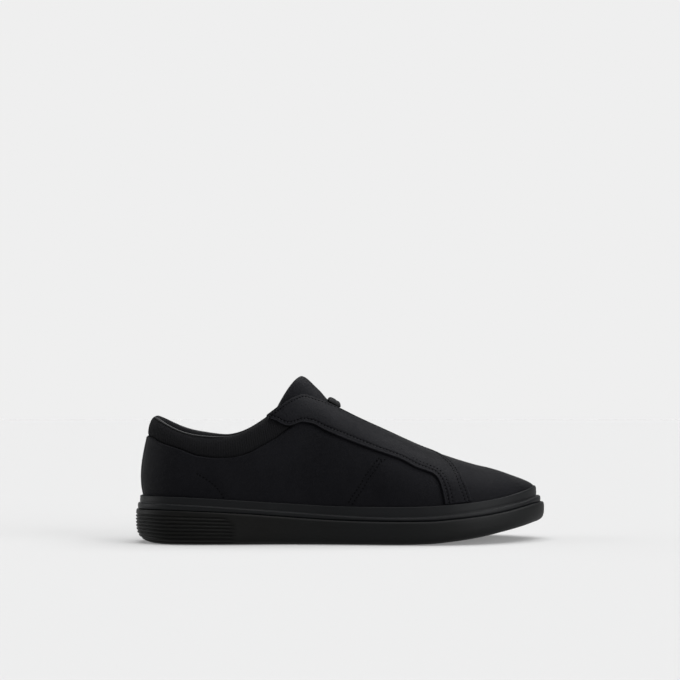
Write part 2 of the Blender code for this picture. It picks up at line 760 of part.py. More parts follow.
def make_upper(collection, finish):
    """Hollow leather upper with one wall, open at collar, throat and underneath."""
    rows = even_rows(0, COLLAR_END_ROW, RIBS_PER_ROW["heel"])
    rows += even_rows(EAR_START_ROW, INSTEP_ROWS[0], RIBS_PER_ROW["ear"])
    rows += even_rows(*INSTEP_ROWS, RIBS_PER_ROW["instep"])[1:]
    rows += even_rows(INSTEP_ROWS[1], THROAT_BASE_ROWS[0], RIBS_PER_ROW["vamp"])[1:]
    rows += even_rows(*THROAT_BASE_ROWS, RIBS_PER_ROW["throat"])[1:]
    rows += even_rows(THROAT_BASE_ROWS[1], TOE_ROW, RIBS_PER_ROW["toe"])[1:]
    stations = loop_stations(rows)
    tops = [upper_top(side, row) for side, row in stations]
    points = []
    for depth in (0.0, -UPPER_WALL):
        for (side, row), top in zip(stations, tops):
            foot = shell_point(side, row, 0.0, 0.0) + outline_normal(side, row) * depth
            wall = [shell_point(side, row, top * k / SHELL_ROWS, depth) for k in SHELL_STEPS]
            points.append(at(foot, cup_floor(foot.x) + GAP))
            points.append(at(foot, min(foot.z, wall[0].z) - GAP))
            points += wall
    height = SHELL_ROWS + 2
    count = len(stations)
    inner = count * height
    faces = []
    for i in range(count):
        j = (i + 1) % count
        for k in range(height - 1):
            a, b = i * height + k, j * height + k
            faces.append((a, b, b + 1, a + 1))
            faces.append((inner + a, inner + a + 1, inner + b + 1, inner + b))
        foot_i, foot_j = i * height, j * height
        faces.append((foot_i, inner + foot_i, inner + foot_j, foot_j))
        first = min(stations[i][1], stations[j][1])
        on_ridge = min(tops[i], tops[j]) >= 1.0 and first > RIDGE_START
        if not on_ridge:
            top_i, top_j = foot_i + height - 1, foot_j + height - 1
            faces.append((top_i, top_j, inner + top_j, inner + top_i))
    return mesh_object("upper", points, faces, finish, collection)


def make_collar(collection, finish):
    """Padded knit collar behind the leather's top edge, from ear to ear round the heel."""
    rows = even_rows(0, COLLAR_END_ROW, RIBS_PER_ROW["collar"])
    stations = [(-1, row) for row in reversed(rows)] + [(1, row) for row in rows if row > 0]
    points = []
    for side, row in stations:
        seam = seam_share(side, row)
        for up, depth in COLLAR_SECTION:
            v = seam + (1.0 - seam) * up
            points.append(shell_point(side, row, v, -COLLAR_PAD * depth))
    size = len(COLLAR_SECTION)
    faces = []
    for i in range(len(stations) - 1):
        for k in range(size):
            m = (k + 1) % size
            a, b = i * size, (i + 1) * size
            faces.append((a + k, a + m, b + m, b + k))
    faces.append(tuple(reversed(range(size))))
    last = (len(stations) - 1) * size
    faces.append(tuple(range(last, last + size)))
    return mesh_object("collar", points, faces, finish, collection)


def eyestay_edges(side, station):
    """Row and v of the eyestay's low and of its high edge at a station of its table."""
    edge = {name: curve(station) for name, curve in EYESTAY_EDGES.items()}
    low = place_on_side(side, LENGTH * edge["low_x"], INSTEP_HEIGHT * edge["low_z"])
    x = LENGTH * edge["high_x"]
    if x > EYESTAY_STRAIGHT_END:
        return low, place_on_side(side, x, INSTEP_HEIGHT * edge["high_z"])
    if x < EAR_CORNER:
        return low, place_on_rim(side, x)
    return low, place_on_throat(side, x)


def make_eyestay(name, side, collection, finish):
    """Leather strip from its ear on the collar along the throat and down to the sole."""
    steps, across = 2 * (len(EYESTAY) - 1), 6
    outside, inside = [], []
    for i in range(steps + 1):
        (low_row, low_v), (high_row, high_v) = eyestay_edges(side, i / 2)
        for k in range(across + 1):
            share = k / across
            row = low_row + (high_row - low_row) * share
            v = low_v + (high_v - low_v) * share
            outside.append(shell_point(side, row, v, OVERLAY_GAP + OVERLAY_THICKNESS))
            inside.append(shell_point(side, row, v, OVERLAY_GAP))
    return slab(name, outside, inside, across + 1, finish, collection)


def instep_tree():
    """The outside of the last over the instep, for dropping points onto it."""
    rows = even_rows(RIDGE_START - 4, TOE_ROW, 4)
    shares = [0.3 + 0.7 * k / 24 for k in range(25)]
    points, faces = [], []
    for side in (-1, 1):
        start = len(points)
        for row in rows:
            points += [form(side, row, v) for v in shares]
        for i in range(len(rows) - 1):
            for k in range(len(shares) - 1):
                a, b = start + i * len(shares) + k, start + (i + 1) * len(shares) + k
                faces.append((a, b, b + 1, a + 1) if side < 0 else (a, a + 1, b + 1, b))
    return BVHTree.FromPolygons(points, faces)


def drop(tree, x, y):
    """Point and upward normal of the last's outside above (x, y)."""
    point, normal, _, _ = tree.ray_cast(Vector((x, y, 400.0)), Vector((0, 0, -1)))
    if normal.z < 0:
        normal = -normal
    return point, normal


def make_gore(collection, finish, tree):
    """Elastic gore in the throat slot, level with the upper's wall and under the overlay."""
    stations = 14
    across = 8
    end = THROAT_BASE - GORE_CLEARANCE - GAP
    top_points, low_points = [], []
    for i in range(stations + 1):
        x = GORE_TOP + (end - GORE_TOP) * (1 - (1 - i / stations) ** GORE_END_CROWDING)
        half = throat_half(x, GORE_CLEARANCE)
        for k in range(across + 1):
            y = middle_y(x) + half * (2 * k / across - 1)
            point, normal = drop(tree, x, y)
            top_points.append(point - normal * GORE_SINK)
            low_points.append(point - normal * (GORE_SINK + GORE_THICKNESS))
    return slab("gore", top_points, low_points, across + 1, finish, collection)


def slab(name, top_points, low_points, width, finish, collection):
    """A solid between two grids of points, width points to a row."""
    count = len(top_points)
    rows = count // width
    points = top_points + low_points
    faces = []
    for i in range(rows - 1):
        for k in range(width - 1):
            a, b = i * width + k, (i + 1) * width + k
            faces.append((a, a + 1, b + 1, b))
            faces.append((count + a, count + b, count + b + 1, count + a + 1))
    rim = list(range(width))
    rim += [i * width + width - 1 for i in range(1, rows)]
    rim += [(rows - 1) * width + k for k in range(width - 2, -1, -1)]
    rim += [i * width for i in range(rows - 2, 0, -1)]
    for a, b in zip(rim, rim[1:] + rim[:1]):
        faces.append((a, count + a, count + b, b))
    return mesh_object(name, points, faces, finish, collection)


def make_gore_hem(collection, finish, tree):
    """Rolled hem across the top end of the gore: a rounded strip that arches over the throat."""
    across = 10
    corners = 10
    x = GORE_TOP - HEM_LENGTH / 2 - GAP
    half = throat_half(x, OVERLAY_COVER) - HEM_SIDE_GAP
    points = []
    for k in range(across + 1):
        y = middle_y(x) + half * (2 * k / across - 1)
        point, _ = drop(tree, x, y)
        slope = ridge_slope(RIDGE_START + 1)
        forward = Vector((1.0, 0.0, slope)).normalized()
        up = Vector((-forward.z, 0.0, forward.x))
        middle = point + up * HEM_RISE
        for c in range(corners):
            angle = 2 * math.pi * c / corners
            wide = math.copysign(abs(math.cos(angle)) ** 0.6, math.cos(angle))
            high = math.copysign(abs(math.sin(angle)) ** 0.8, math.sin(angle))
            points.append(middle + forward * wide * HEM_LENGTH / 2 + up * high * HEM_THICKNESS / 2)
    faces = [tuple(range(corners)), tuple(across * corners + c for c in range(corners))]
    for k in range(across):
        for c in range(corners):
            d = (c + 1) % corners
            a, b = k * corners, (k + 1) * corners
            faces.append((a + c, a + d, b + d, b + c))
    return mesh_object("gore_hem", points, faces, finish, collection)


def ridge_line(x):
    """Height of the instep ridge at x, carried on straight above the mouth."""
    height = RIDGE["top_z"]
    share = x / LENGTH
    if share < height.xs[1]:
        return INSTEP_HEIGHT * (height.ys[1] + height.rises[0] * (share - height.xs[1]))
    return INSTEP_HEIGHT * height(share)


def tongue_point(place, share):
    """Point on the tongue's top: place runs along its table, share from side to side, -1 to 1."""
    line = {name: curve(place) for name, curve in TONGUE_LINES.items()}
    x = LENGTH * line["x"]
    z = ridge_line(x) + line["lift"]
    if line["lift"] > 0:
        tip_x, tip_lift = (TONGUE_LINES[name].ys[-1] for name in ("x", "lift"))
        tip = ridge_line(LENGTH * tip_x) + tip_lift
        z *= 1 + (TONGUE_HEIGHT / tip - 1) * line["lift"] / tip_lift
    out = abs(share)
    y = middle_y(x) + line["half"] * share * (1 + TONGUE_SIDE_SPREAD * (1 - share * share))
    return Vector((x - line["back"] * out ** TONGUE_SWEEP, y, z - line["drop"] * out ** TONGUE_DROOP))


def make_tongue(collection, finish):
    """Padded tongue, an arched sheet that comes out from under the gore and rises to its tip."""
    across, stations = 14, 18
    last = len(TONGUE) - 1
    step = 0.02
    top_points, low_points = [], []
    for i in range(stations + 1):
        place = last * i / stations
        thick = TONGUE_LINES["thick"](place)
        for k in range(across + 1):
            share = 2 * k / across - 1
            point = tongue_point(place, share)
            before, after = max(place - step, 0), min(place + step, last)
            along = tongue_point(after, share) - tongue_point(before, share)
            sideways = tongue_point(place, share + step) - tongue_point(place, share - step)
            normal = sideways.cross(along).normalized()
            edge = 1 - TONGUE_THIN_EDGE * abs(share) ** TONGUE_DROOP
            top_points.append(point)
            low_points.append(point - normal * thick * edge)
    return slab("tongue", top_points, low_points, across + 1, finish, collection)


def plan_centre():
    """Middle of the outline's box, put over the origin."""
    ys = [outline(side, row / 8).y for side in (-1, 1) for row in range(8 * TOE_ROW + 1)]
    return Vector((LENGTH / 2, (min(ys) + max(ys)) / 2, 0.0))


CENTRE = plan_centre()


def main():
    for old in list(bpy.data.objects):
        bpy.data.objects.remove(old, do_unlink=True)
    shoe = new_collection("slip_on_sneaker")
    cutters = new_collection("cutters")
    rubber = material("outsole_rubber", (0.012, 0.012, 0.012), 0.55)
    foam = material("midsole_foam", (0.015, 0.016, 0.017), 0.5)
    leather = material("black_leather", (0.011, 0.011, 0.012), 0.6)
    smooth_leather = material("overlay_leather", (0.013, 0.013, 0.014), 0.5)
    knit = material("ribbed_knit", (0.012, 0.012, 0.012), 0.85)
    elastic = material("gore_elastic", (0.010, 0.010, 0.011), 0.8)
    lining = material("lining_fabric", (0.020, 0.020, 0.021), 0.85)
    make_outsole(shoe, cutters, rubber)
    make_midsole(shoe, foam)
    make_insole(shoe, lining)
    make_upper(shoe, leather)
    make_collar(shoe, knit)
    make_eyestay("eyestay_lateral", -1, shoe, smooth_leather)
    make_eyestay("eyestay_medial", 1, shoe, smooth_leather)
    tree = instep_tree()
    make_gore(shoe, elastic, tree)
    make_gore_hem(shoe, elastic, tree)
    make_tongue(shoe, smooth_leather)


main()
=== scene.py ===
# %% [markdown]
# # A black slip-on sneaker
# A right shoe, seen from its outer side: a cup sole in two tones, a leather upper on a shoemaker's
# last, a padded rib-knit collar, an eyestay strip on each side of an elastic gore, and a tongue.
# Everything starts from the frame, the plain solids of the shoe at real size in metres. +X runs
# to the toe, +Y to the inner side of the foot and +Z up. Sizes below are in millimetres.

import math

import bmesh
import bpy
import numpy as np
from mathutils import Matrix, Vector, kdtree


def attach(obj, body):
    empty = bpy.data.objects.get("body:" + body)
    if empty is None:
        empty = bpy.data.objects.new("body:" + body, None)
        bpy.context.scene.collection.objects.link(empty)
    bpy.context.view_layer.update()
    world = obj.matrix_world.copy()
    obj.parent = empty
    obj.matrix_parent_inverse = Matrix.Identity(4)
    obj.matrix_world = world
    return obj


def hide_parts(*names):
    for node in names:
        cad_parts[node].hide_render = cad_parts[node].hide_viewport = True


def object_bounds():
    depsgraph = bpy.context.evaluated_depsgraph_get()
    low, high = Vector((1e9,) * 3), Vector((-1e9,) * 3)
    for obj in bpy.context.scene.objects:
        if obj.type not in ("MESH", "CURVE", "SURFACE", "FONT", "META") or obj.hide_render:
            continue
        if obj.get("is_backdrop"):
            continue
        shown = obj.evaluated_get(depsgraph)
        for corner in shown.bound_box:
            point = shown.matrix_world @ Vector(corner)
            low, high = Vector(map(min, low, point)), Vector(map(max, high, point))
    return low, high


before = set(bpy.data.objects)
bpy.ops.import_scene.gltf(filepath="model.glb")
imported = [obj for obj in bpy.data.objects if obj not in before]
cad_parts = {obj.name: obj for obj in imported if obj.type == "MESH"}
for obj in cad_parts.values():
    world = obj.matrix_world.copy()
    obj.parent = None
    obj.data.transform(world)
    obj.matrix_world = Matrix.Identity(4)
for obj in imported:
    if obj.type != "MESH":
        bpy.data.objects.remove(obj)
frame_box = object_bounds()
print("nodes:", sorted(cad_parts))

# %% [markdown]
# ## The last's tables
# A shoemaker starts from a last, the foot-shaped form that the upper is stretched over. Here the
# last is a short table: each row is one rib, from the heel's middle to the toe's middle, with the
# point where it leaves the sole and the point where it ends, on the collar or on the instep. All
# but the lean, which is in degrees, are thousandths of a few sizes, so the shoe can be resized as a
# whole. A curve through each column that never overshoots keeps the outline from rippling.

# %% Sizes and tables of the last
MM = 0.001
LENGTH = 300.0
BALL_WIDTH = 105.0
SOLE_HEIGHT = 33.5
COLLAR_HEIGHT = 91.1
INSTEP_HEIGHT = 97.3
TONGUE_HEIGHT = 120.3
GAP = 0.3
UPPER_WALL = 2.0
CUP_WALL = 1.3
CUP_DEPTH = 14.0
FOOT_INSET, BAND_INSET = (3.3, 5.8), (1.8, 2.8)

RIB_COLUMNS = ("foot_x", "lateral", "medial", "top_x", "top_y", "top_z", "lean", "low", "high",
               "ridge", "rise")
RIB_UNITS = [1 if name == "lean" else 1000 for name in RIB_COLUMNS]
RIBS = np.array((
    (0, 0, 0, 35, 0, 1004, 15, 340, 340, 0, 0),
    (7, 114, 114, 41, 90, 990, 15, 340, 340, 0, 12),
    (28, 214, 214, 59, 167, 957, 13, 340, 340, 0, 26),
    (67, 300, 300, 88, 227, 905, 9, 340, 340, 0, 34),
    (120, 350, 348, 130, 272, 854, 6, 340, 340, 0, 32),
    (180, 367, 360, 182, 297, 838, 5, 340, 340, 0, 20),
    (240, 370, 354, 227, 303, 846, 4, 340, 340, 0, 8),
    (300, 370, 345, 272, 295, 903, 3, 340, 340, 0, 0),
    (353, 373, 341, 311, 276, 984, 3, 350, 340, 0, 0),
    (400, 385, 346, 343, 252, 1058, 3, 360, 340, 120, 0),
    (443, 402, 358, 369, 218, 1100, 3, 370, 340, 360, 0),
    (483, 422, 377, 392, 168, 1104, 3, 380, 340, 680, 0),
    (520, 442, 400, 409, 90, 1118, 3, 390, 340, 920, 0),
    (553, 459, 423, 420, 0, 1116, 3, 400, 340, 1000, 0),
    (593, 478, 450, 465, 0, 1035, 3, 400, 350, 1000, 0),
    (640, 495, 476, 519, 3, 943, 3, 390, 370, 1000, 0),
    (687, 503, 495, 575, 8, 858, 2, 370, 400, 1000, 0),
    (733, 498, 503, 632, 12, 773, 1, 340, 430, 1000, 0),
    (777, 480, 499, 685, 19, 699, 0, 320, 460, 1000, 0),
    (820, 443, 482, 740, 27, 643, -2, 310, 480, 1000, 0),
    (860, 390, 453, 787, 36, 596, -5, 310, 480, 1000, 0),
    (897, 324, 413, 828, 46, 560, -9, 310, 480, 1000, 0),
    (928, 252, 367, 863, 53, 535, -15, 310, 460, 1000, 0),
    (955, 171, 310, 890, 61, 510, -22, 300, 420, 1000, 0),
    (977, 88, 248, 911, 67, 487, -30, 300, 380, 1000, 0),
    (993, 0, 176, 926, 72, 471, -37, 300, 340, 1000, 0),
    (1000, -86, 86, 937, 78, 456, -40, 300, 320, 1000, 0),
)) / RIB_UNITS
TOE_ROW = len(RIBS) - 1
RIDGE_START = 13
TOP_X, TOP_Y, TOP_Z = (RIB_COLUMNS.index(name) for name in ("top_x", "top_y", "top_z"))
RIDGE_X, RIDGE_Y, RIDGE_Z = RIBS[RIDGE_START:, (TOP_X, TOP_Y, TOP_Z)].T

SOLE_COLUMNS = ("x", "bottom", "groove", "step", "rim")
SOLE_LINES = np.array((
    (0, 70, 705, 840, 990), (28, 30, 718, 852, 1004), (53, 8, 719, 852, 1006),
    (82, 0, 715, 845, 1002), (158, 0, 694, 813, 974), (253, 0, 650, 752, 921),
    (367, 0, 574, 678, 856), (480, 0, 512, 608, 803), (555, 0, 493, 576, 794),
    (620, 0, 488, 565, 794), (690, 15, 494, 582, 808), (746, 60, 531, 622, 842),
    (808, 130, 582, 684, 888), (872, 228, 657, 772, 966), (931, 316, 749, 857, 1075),
    (969, 370, 800, 930, 1156), (1000, 388, 812, 962, 1175),
)) / 1000


def curve(xs, ys, flat_ends=False):
    """A curve through the points that never overshoots them, as a function of arrays."""
    xs, ys = np.asarray(xs, float), np.asarray(ys, float)
    steps = np.diff(xs)
    rises = np.diff(ys) / steps
    slopes = np.zeros(len(xs))
    before, after = 2 * steps[1:] + steps[:-1], steps[1:] + 2 * steps[:-1]
    same = rises[:-1] * rises[1:] > 0
    safe = np.where(same, rises[:-1], 1.0), np.where(same, rises[1:], 1.0)
    slopes[1:-1] = np.where(same, (before + after) / (before / safe[0] + after / safe[1]), 0.0)
    if not flat_ends:
        for near, far in ((0, 1), (-1, -2)):
            slope = (2 * steps[near] + steps[far]) * rises[near] - steps[near] * rises[far]
            slope /= steps[near] + steps[far]
            slopes[near] = slope if slope * rises[near] > 0 else 0.0

    def value(x):
        x = np.clip(x, xs[0], xs[-1])
        i = np.clip(np.searchsorted(xs, x, side="right") - 1, 0, len(steps) - 1)
        h, u = steps[i], (x - xs[i]) / steps[i]
        ends = ys[i] * (1 + 2 * u) * (1 - u) ** 2 + ys[i + 1] * u * u * (3 - 2 * u)
        return ends + h * (slopes[i] * u * (1 - u) ** 2 - slopes[i + 1] * u * u * (1 - u))

    return value


SECTION = {
    name: curve(range(TOE_ROW + 1), RIBS[:, k], name in ("foot_x", "top_x", "top_z"))
    for k, name in enumerate(RIB_COLUMNS)
}
SOLE = {name: curve(SOLE_LINES[:, 0], SOLE_LINES[:, k]) for k, name in enumerate(SOLE_COLUMNS) if k}
print("ribs on each side:", TOE_ROW + 1)

# %% [markdown]
# ## The last as one smooth form
# Each rib is a cubic curve with four control points: the foot, a handle that sets how the wall
# leaves the sole, a handle that sets how it comes up to the top, and the top. The ribs of both
# sides make one closed loop round the shoe, so the control points are worked out once round that
# loop and then smoothed along it. Light on black leather shows the smallest kink, and a smoothed
# loop has none. Any point of the upper is then a place round the loop and a share v of the rib.

# %% Control points round the loop
LOOP_STEP = 0.05
SMOOTHING = 0.45
LOOP = np.arange(0, 2 * TOE_ROW, LOOP_STEP)
loop_side = np.where(LOOP <= TOE_ROW, -1.0, 1.0)


def row_of(place):
    """The row of the last's table at a place round the loop."""
    place = np.asarray(place, float) % (2 * TOE_ROW)
    return np.where(place <= TOE_ROW, place, 2 * TOE_ROW - place)


def sole_height(line, x):
    return SOLE_HEIGHT * SOLE[line](x / LENGTH)


def unit(vectors):
    return vectors / np.maximum(np.linalg.norm(vectors, axis=-1, keepdims=True), 1e-9)


def bell(distance, width):
    """A soft hump, 1 in its middle, that has faded out about two widths away."""
    return np.exp(-0.5 * (distance / width) ** 2)


def soft_weights(reach, width):
    """Weights of a soft average over so many neighbours on each side."""
    weights = bell(np.arange(-reach, reach + 1), width)
    return weights / weights.sum()


def loop_average(values, reach, width):
    """A soft average of each value of a closed loop with its neighbours."""
    shifts = range(-reach, reach + 1)
    return sum(w * np.roll(values, -k, axis=0) for k, w in zip(shifts, soft_weights(reach, width)))


def smooth_loop(values, spread=SMOOTHING):
    return loop_average(values, int(4 * spread / LOOP_STEP), spread / LOOP_STEP)


loop_row = row_of(LOOP)
width = np.where(loop_side < 0, SECTION["lateral"](loop_row), SECTION["medial"](loop_row))
outline_x = LENGTH * SECTION["foot_x"](loop_row)
outline = np.stack([outline_x, loop_side * BALL_WIDTH * width, 0 * width], 1)
CENTRE = np.array([LENGTH / 2, (outline[:, 1].min() + outline[:, 1].max()) / 2, 0.0])
outline = smooth_loop(outline, 0.3)
along = np.roll(outline, -1, axis=0) - np.roll(outline, 1, axis=0)
outward = unit(smooth_loop(np.stack([along[:, 1], -along[:, 0], 0 * width], 1), 0.3))


def inset(distance):
    """The sole's outline moved in by a distance, all round the loop."""
    return outline - outward * np.broadcast_to(distance, LOOP.shape)[:, None]


foot_share = SECTION["foot_x"](loop_row)
foot_inset = FOOT_INSET[0] + (FOOT_INSET[1] - FOOT_INSET[0]) * foot_share
band_inset = BAND_INSET[0] + (BAND_INSET[1] - BAND_INSET[0]) * foot_share
upper_inset = foot_inset + CUP_WALL + GAP

foot = inset(upper_inset)
foot[:, 2] = sole_height("rim", foot[:, 0])
ridge = SECTION["ridge"](loop_row)
top_y = BALL_WIDTH * SECTION["top_y"](loop_row) * np.where(loop_row < RIDGE_START, loop_side, 1.0)
top_z = (COLLAR_HEIGHT + (INSTEP_HEIGHT - COLLAR_HEIGHT) * ridge) * SECTION["top_z"](loop_row)
top_z += np.where(loop_side > 0, COLLAR_HEIGHT * SECTION["rise"](loop_row), 0.0)
top = np.stack([LENGTH * SECTION["top_x"](loop_row), top_y, top_z], 1)
span = np.linalg.norm(top - foot, axis=1)[:, None]
lean = np.radians(SECTION["lean"](loop_row))[:, None]
up = np.array([0.0, 0.0, 1.0])
low = foot + (outward * np.sin(lean) + up * np.cos(lean)) * span * SECTION["low"](loop_row)[:, None]
ridge_z = curve(RIDGE_X, INSTEP_HEIGHT * RIDGE_Z)
ridge_y = curve(RIDGE_X, BALL_WIDTH * RIDGE_Y)


def ridge_slope(x):
    """How steeply the ridge of the instep rises at x."""
    near = 0.005
    share = np.clip(x / LENGTH, RIDGE_X[0] + 1.2 * near, RIDGE_X[-1] - 1.2 * near)
    return (ridge_z(share + near) - ridge_z(share - near)) / (2 * near * LENGTH)


away = unit((foot - top) * [1, 1, 0])
over_ridge = unit(away + up * away[:, :1] * ridge_slope(top[:, 0])[:, None])
down_wall = unit(outward * 0.16 - up)
pull = unit(down_wall * (1 - ridge[:, None]) + over_ridge * ridge[:, None])
high = top + pull * span * SECTION["high"](loop_row)[:, None]
CONTROLS = [smooth_loop(points) for points in (foot, low, high, top)]
CONTROLS[3] = np.where(loop_row[:, None] > RIDGE_START + 1, top, CONTROLS[3])
print("control points round the loop:", len(LOOP))

# %% [markdown]
# ## Reading the form
# Small functions read that form: one gives points on it, one gives the direction that faces
# outward, and one finds where a rib crosses a line, by halving the interval until it is pinned
# down. With them a seam or the edge of a strip can be drawn as it looks from the side and laid on
# the leather, as a pattern cutter draws on the taped last.

# %% Points, normals and lines on the last
def at(place, table):
    """A loop table read at any place round the loop."""
    position = (np.asarray(place, float) % (2 * TOE_ROW)) / LOOP_STEP
    i = np.floor(position).astype(int)
    u = (position - i)[..., None]
    return table[i % len(table)] * (1 - u) + table[(i + 1) % len(table)] * u


def last(place, v):
    """Points on the outside of the last. place runs round the loop, v from the foot to the top."""
    place, v = np.broadcast_arrays(np.asarray(place, float), np.asarray(v, float))
    u, w = (1 - v)[..., None], v[..., None]
    p0, p1, p2, p3 = (at(place, table) for table in CONTROLS)
    return p0 * u ** 3 + p1 * 3 * u * u * w + p2 * 3 * u * w * w + p3 * w ** 3


def last_normal(place, v):
    place, v = np.broadcast_arrays(np.asarray(place, float), np.clip(v, 0.0, 1.0))
    across = last(place, np.minimum(v + 0.015, 1)) - last(place, np.maximum(v - 0.015, 0))
    beside = last(place + 0.04, v) - last(place - 0.04, v)
    slope = ridge_slope(last(place, v)[..., 0])
    on_ridge = np.stack([-slope, 0 * slope, 0 * slope + 1], -1)
    at_top = (v > 0.9995) & (np.abs(place % (2 * TOE_ROW) - TOE_ROW) < TOE_ROW - RIDGE_START)
    return unit(np.where(at_top[..., None], on_ridge, np.cross(beside, across)))


def shell(place, v, offset):
    offset = np.broadcast_to(offset, np.shape(v))[..., None]
    return last(place, v) + last_normal(place, v) * offset


def crossing(test, start, end, rounds=26):
    """Where test turns from false to true between start and end, for each element of the arrays."""
    start, end = np.array(start, float), np.array(end, float)
    for _ in range(rounds):
        middle = (start + end) / 2
        true = test(middle)
        start, end = np.where(true, start, middle), np.where(true, middle, end)
    return (start + end) / 2


def loop_place(side, row):
    return np.where(np.asarray(side) < 0, row, 2 * TOE_ROW - np.asarray(row, float))


def find_point(side, x, reached, first_row=0.0, first_v=0.0, rounds=(26, 22)):
    """Place and v of the point at x where a test of points turns true along its rib."""

    def on_rib(row):
        place = loop_place(side, row)
        start = 0 * x + first_v
        return place, crossing(lambda v: reached(last(place, v)), start, 0 * x + 1, rounds[0])

    def ahead(row):
        return last(*on_rib(row))[..., 0] > x

    return on_rib(crossing(ahead, 0 * x + first_row, 0 * x + TOE_ROW, rounds[1]))


def on_side(side, x, z):
    """Place and v of the last's point that shows at (x, z) in a view from the side."""
    return find_point(side, np.asarray(x, float), lambda p: p[..., 2] > z)


print("heel point:", last(0.0, 0.5).round(1), "toe point:", last(float(TOE_ROW), 0.5).round(1))

# %% [markdown]
# ## Building pieces from grids
# Nearly every piece of a shoe is a strip or a tube of sheet, so one helper turns a grid of points
# into a mesh and another closes two grids, an outside and an inside, into a skin with thickness.
# Each piece then gets its body, the plain solid it stands for and its finish.

# %% Mesh helpers
def quads(rows, columns, around=False):
    """Faces of a grid of points, rows by columns. around joins the last column to the first."""
    across = np.arange(columns if around else columns - 1)
    a = (np.arange(rows - 1)[:, None] * columns + across).ravel()
    b = (np.arange(rows - 1)[:, None] * columns + (across + 1) % columns).ravel()
    return np.stack([a, b, b + columns, a + columns], 1)


def tube(rings):
    """Faces of a row of closed rings."""
    return [quads(len(rings), len(rings[0]), around=True)]


def add_object(name, data):
    made = bpy.data.objects.new(name, data)
    bpy.context.scene.collection.objects.link(made)
    return made


def make_piece(name, points, faces, finish, stands_for=(), weld=False):
    """A mesh from points in mm and faces with four corners each, riding on the shoe."""
    points = np.asarray(points, float).reshape(-1, 3)
    faces = np.concatenate([np.asarray(f).reshape(-1, 4) for f in faces])
    mesh = bpy.data.meshes.new(name)
    mesh.from_pydata(((points - CENTRE) * MM).tolist(), [], faces.tolist())
    mesh.validate()
    work = bmesh.new()
    work.from_mesh(mesh)
    if weld:
        bmesh.ops.remove_doubles(work, verts=work.verts, dist=0.03 * MM)
    bmesh.ops.recalc_face_normals(work, faces=work.faces)
    work.to_mesh(mesh)
    work.free()
    mesh.shade_smooth()
    mesh.materials.append(FINISHES[finish])
    piece = add_object(name, mesh)
    if stands_for:
        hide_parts(*stands_for)
    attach(piece, "root")
    print(f"{name}: {2 * len(faces)} triangles")
    return piece


def skin(outside, inside, around=False):
    """Points and faces of a sheet with thickness, from its outer and its inner grid of points."""
    rows, columns = outside.shape[:2]
    count = rows * columns
    outer = quads(rows, columns, around)
    inner = outer[:, ::-1] + count
    rims = [np.arange(columns), np.arange(columns) + (rows - 1) * columns]
    if around:
        rims = [np.append(rim, rim[0]) for rim in rims]
    else:
        rims += [np.arange(rows) * columns, np.arange(rows) * columns + columns - 1]
    faces = [outer, inner]
    for keep, rim in zip((True, False, False, True), rims):
        a, b = rim[:-1], rim[1:]
        wall = np.stack([a, a + count, b + count, b], 1)
        faces.append(wall if keep else wall[:, ::-1])
    return np.concatenate([outside.reshape(-1, 3), inside.reshape(-1, 3)]), faces


def ease(low, high, x):
    """A smooth ramp from 0 at low to 1 at high."""
    u = np.clip((np.asarray(x, float) - low) / (high - low), 0, 1)
    return u * u * (3 - 2 * u)


def lengths_along(points):
    """Length along a row of points, from its first one."""
    return np.concatenate([[0.0], np.cumsum(np.linalg.norm(np.diff(points, axis=0), axis=1))])


def even_samples(values, points, count):
    """Values resampled at even lengths along the points they belong to."""
    s = lengths_along(points)
    return [np.interp(np.linspace(0, s[-1], count), s, value) for value in values]

# %% [markdown]
# ## Finishes
# Every surface of this shoe is black, so the pieces are told apart by gloss and relief. Each finish
# is a colour that drifts a little, a roughness that drifts with it, and a relief given in mm of
# real depth: pebbled grain on the leather, knitted loops, woven lining, the fine pores of moulded
# foam. Relief at its true depth catches the studio light as the real surface does.

# %% Materials
FINISHES = {}
PATCH_RANGE = 0.35, 0.65
COOL = (0.90, 0.91, 1.0, 1.0)


def with_sockets(node, **values):
    """A shader node with some of its own sockets set."""
    for socket, value in values.items():
        node.inputs[socket.replace("_", " ")].default_value = value
    return node


def add_node(nodes, kind, **values):
    return with_sockets(nodes.new(f"ShaderNode{kind}"), **values)


def new_material(name):
    made = bpy.data.materials.new(name)
    made.use_nodes = True
    return made, made.node_tree.nodes["Principled BSDF"]


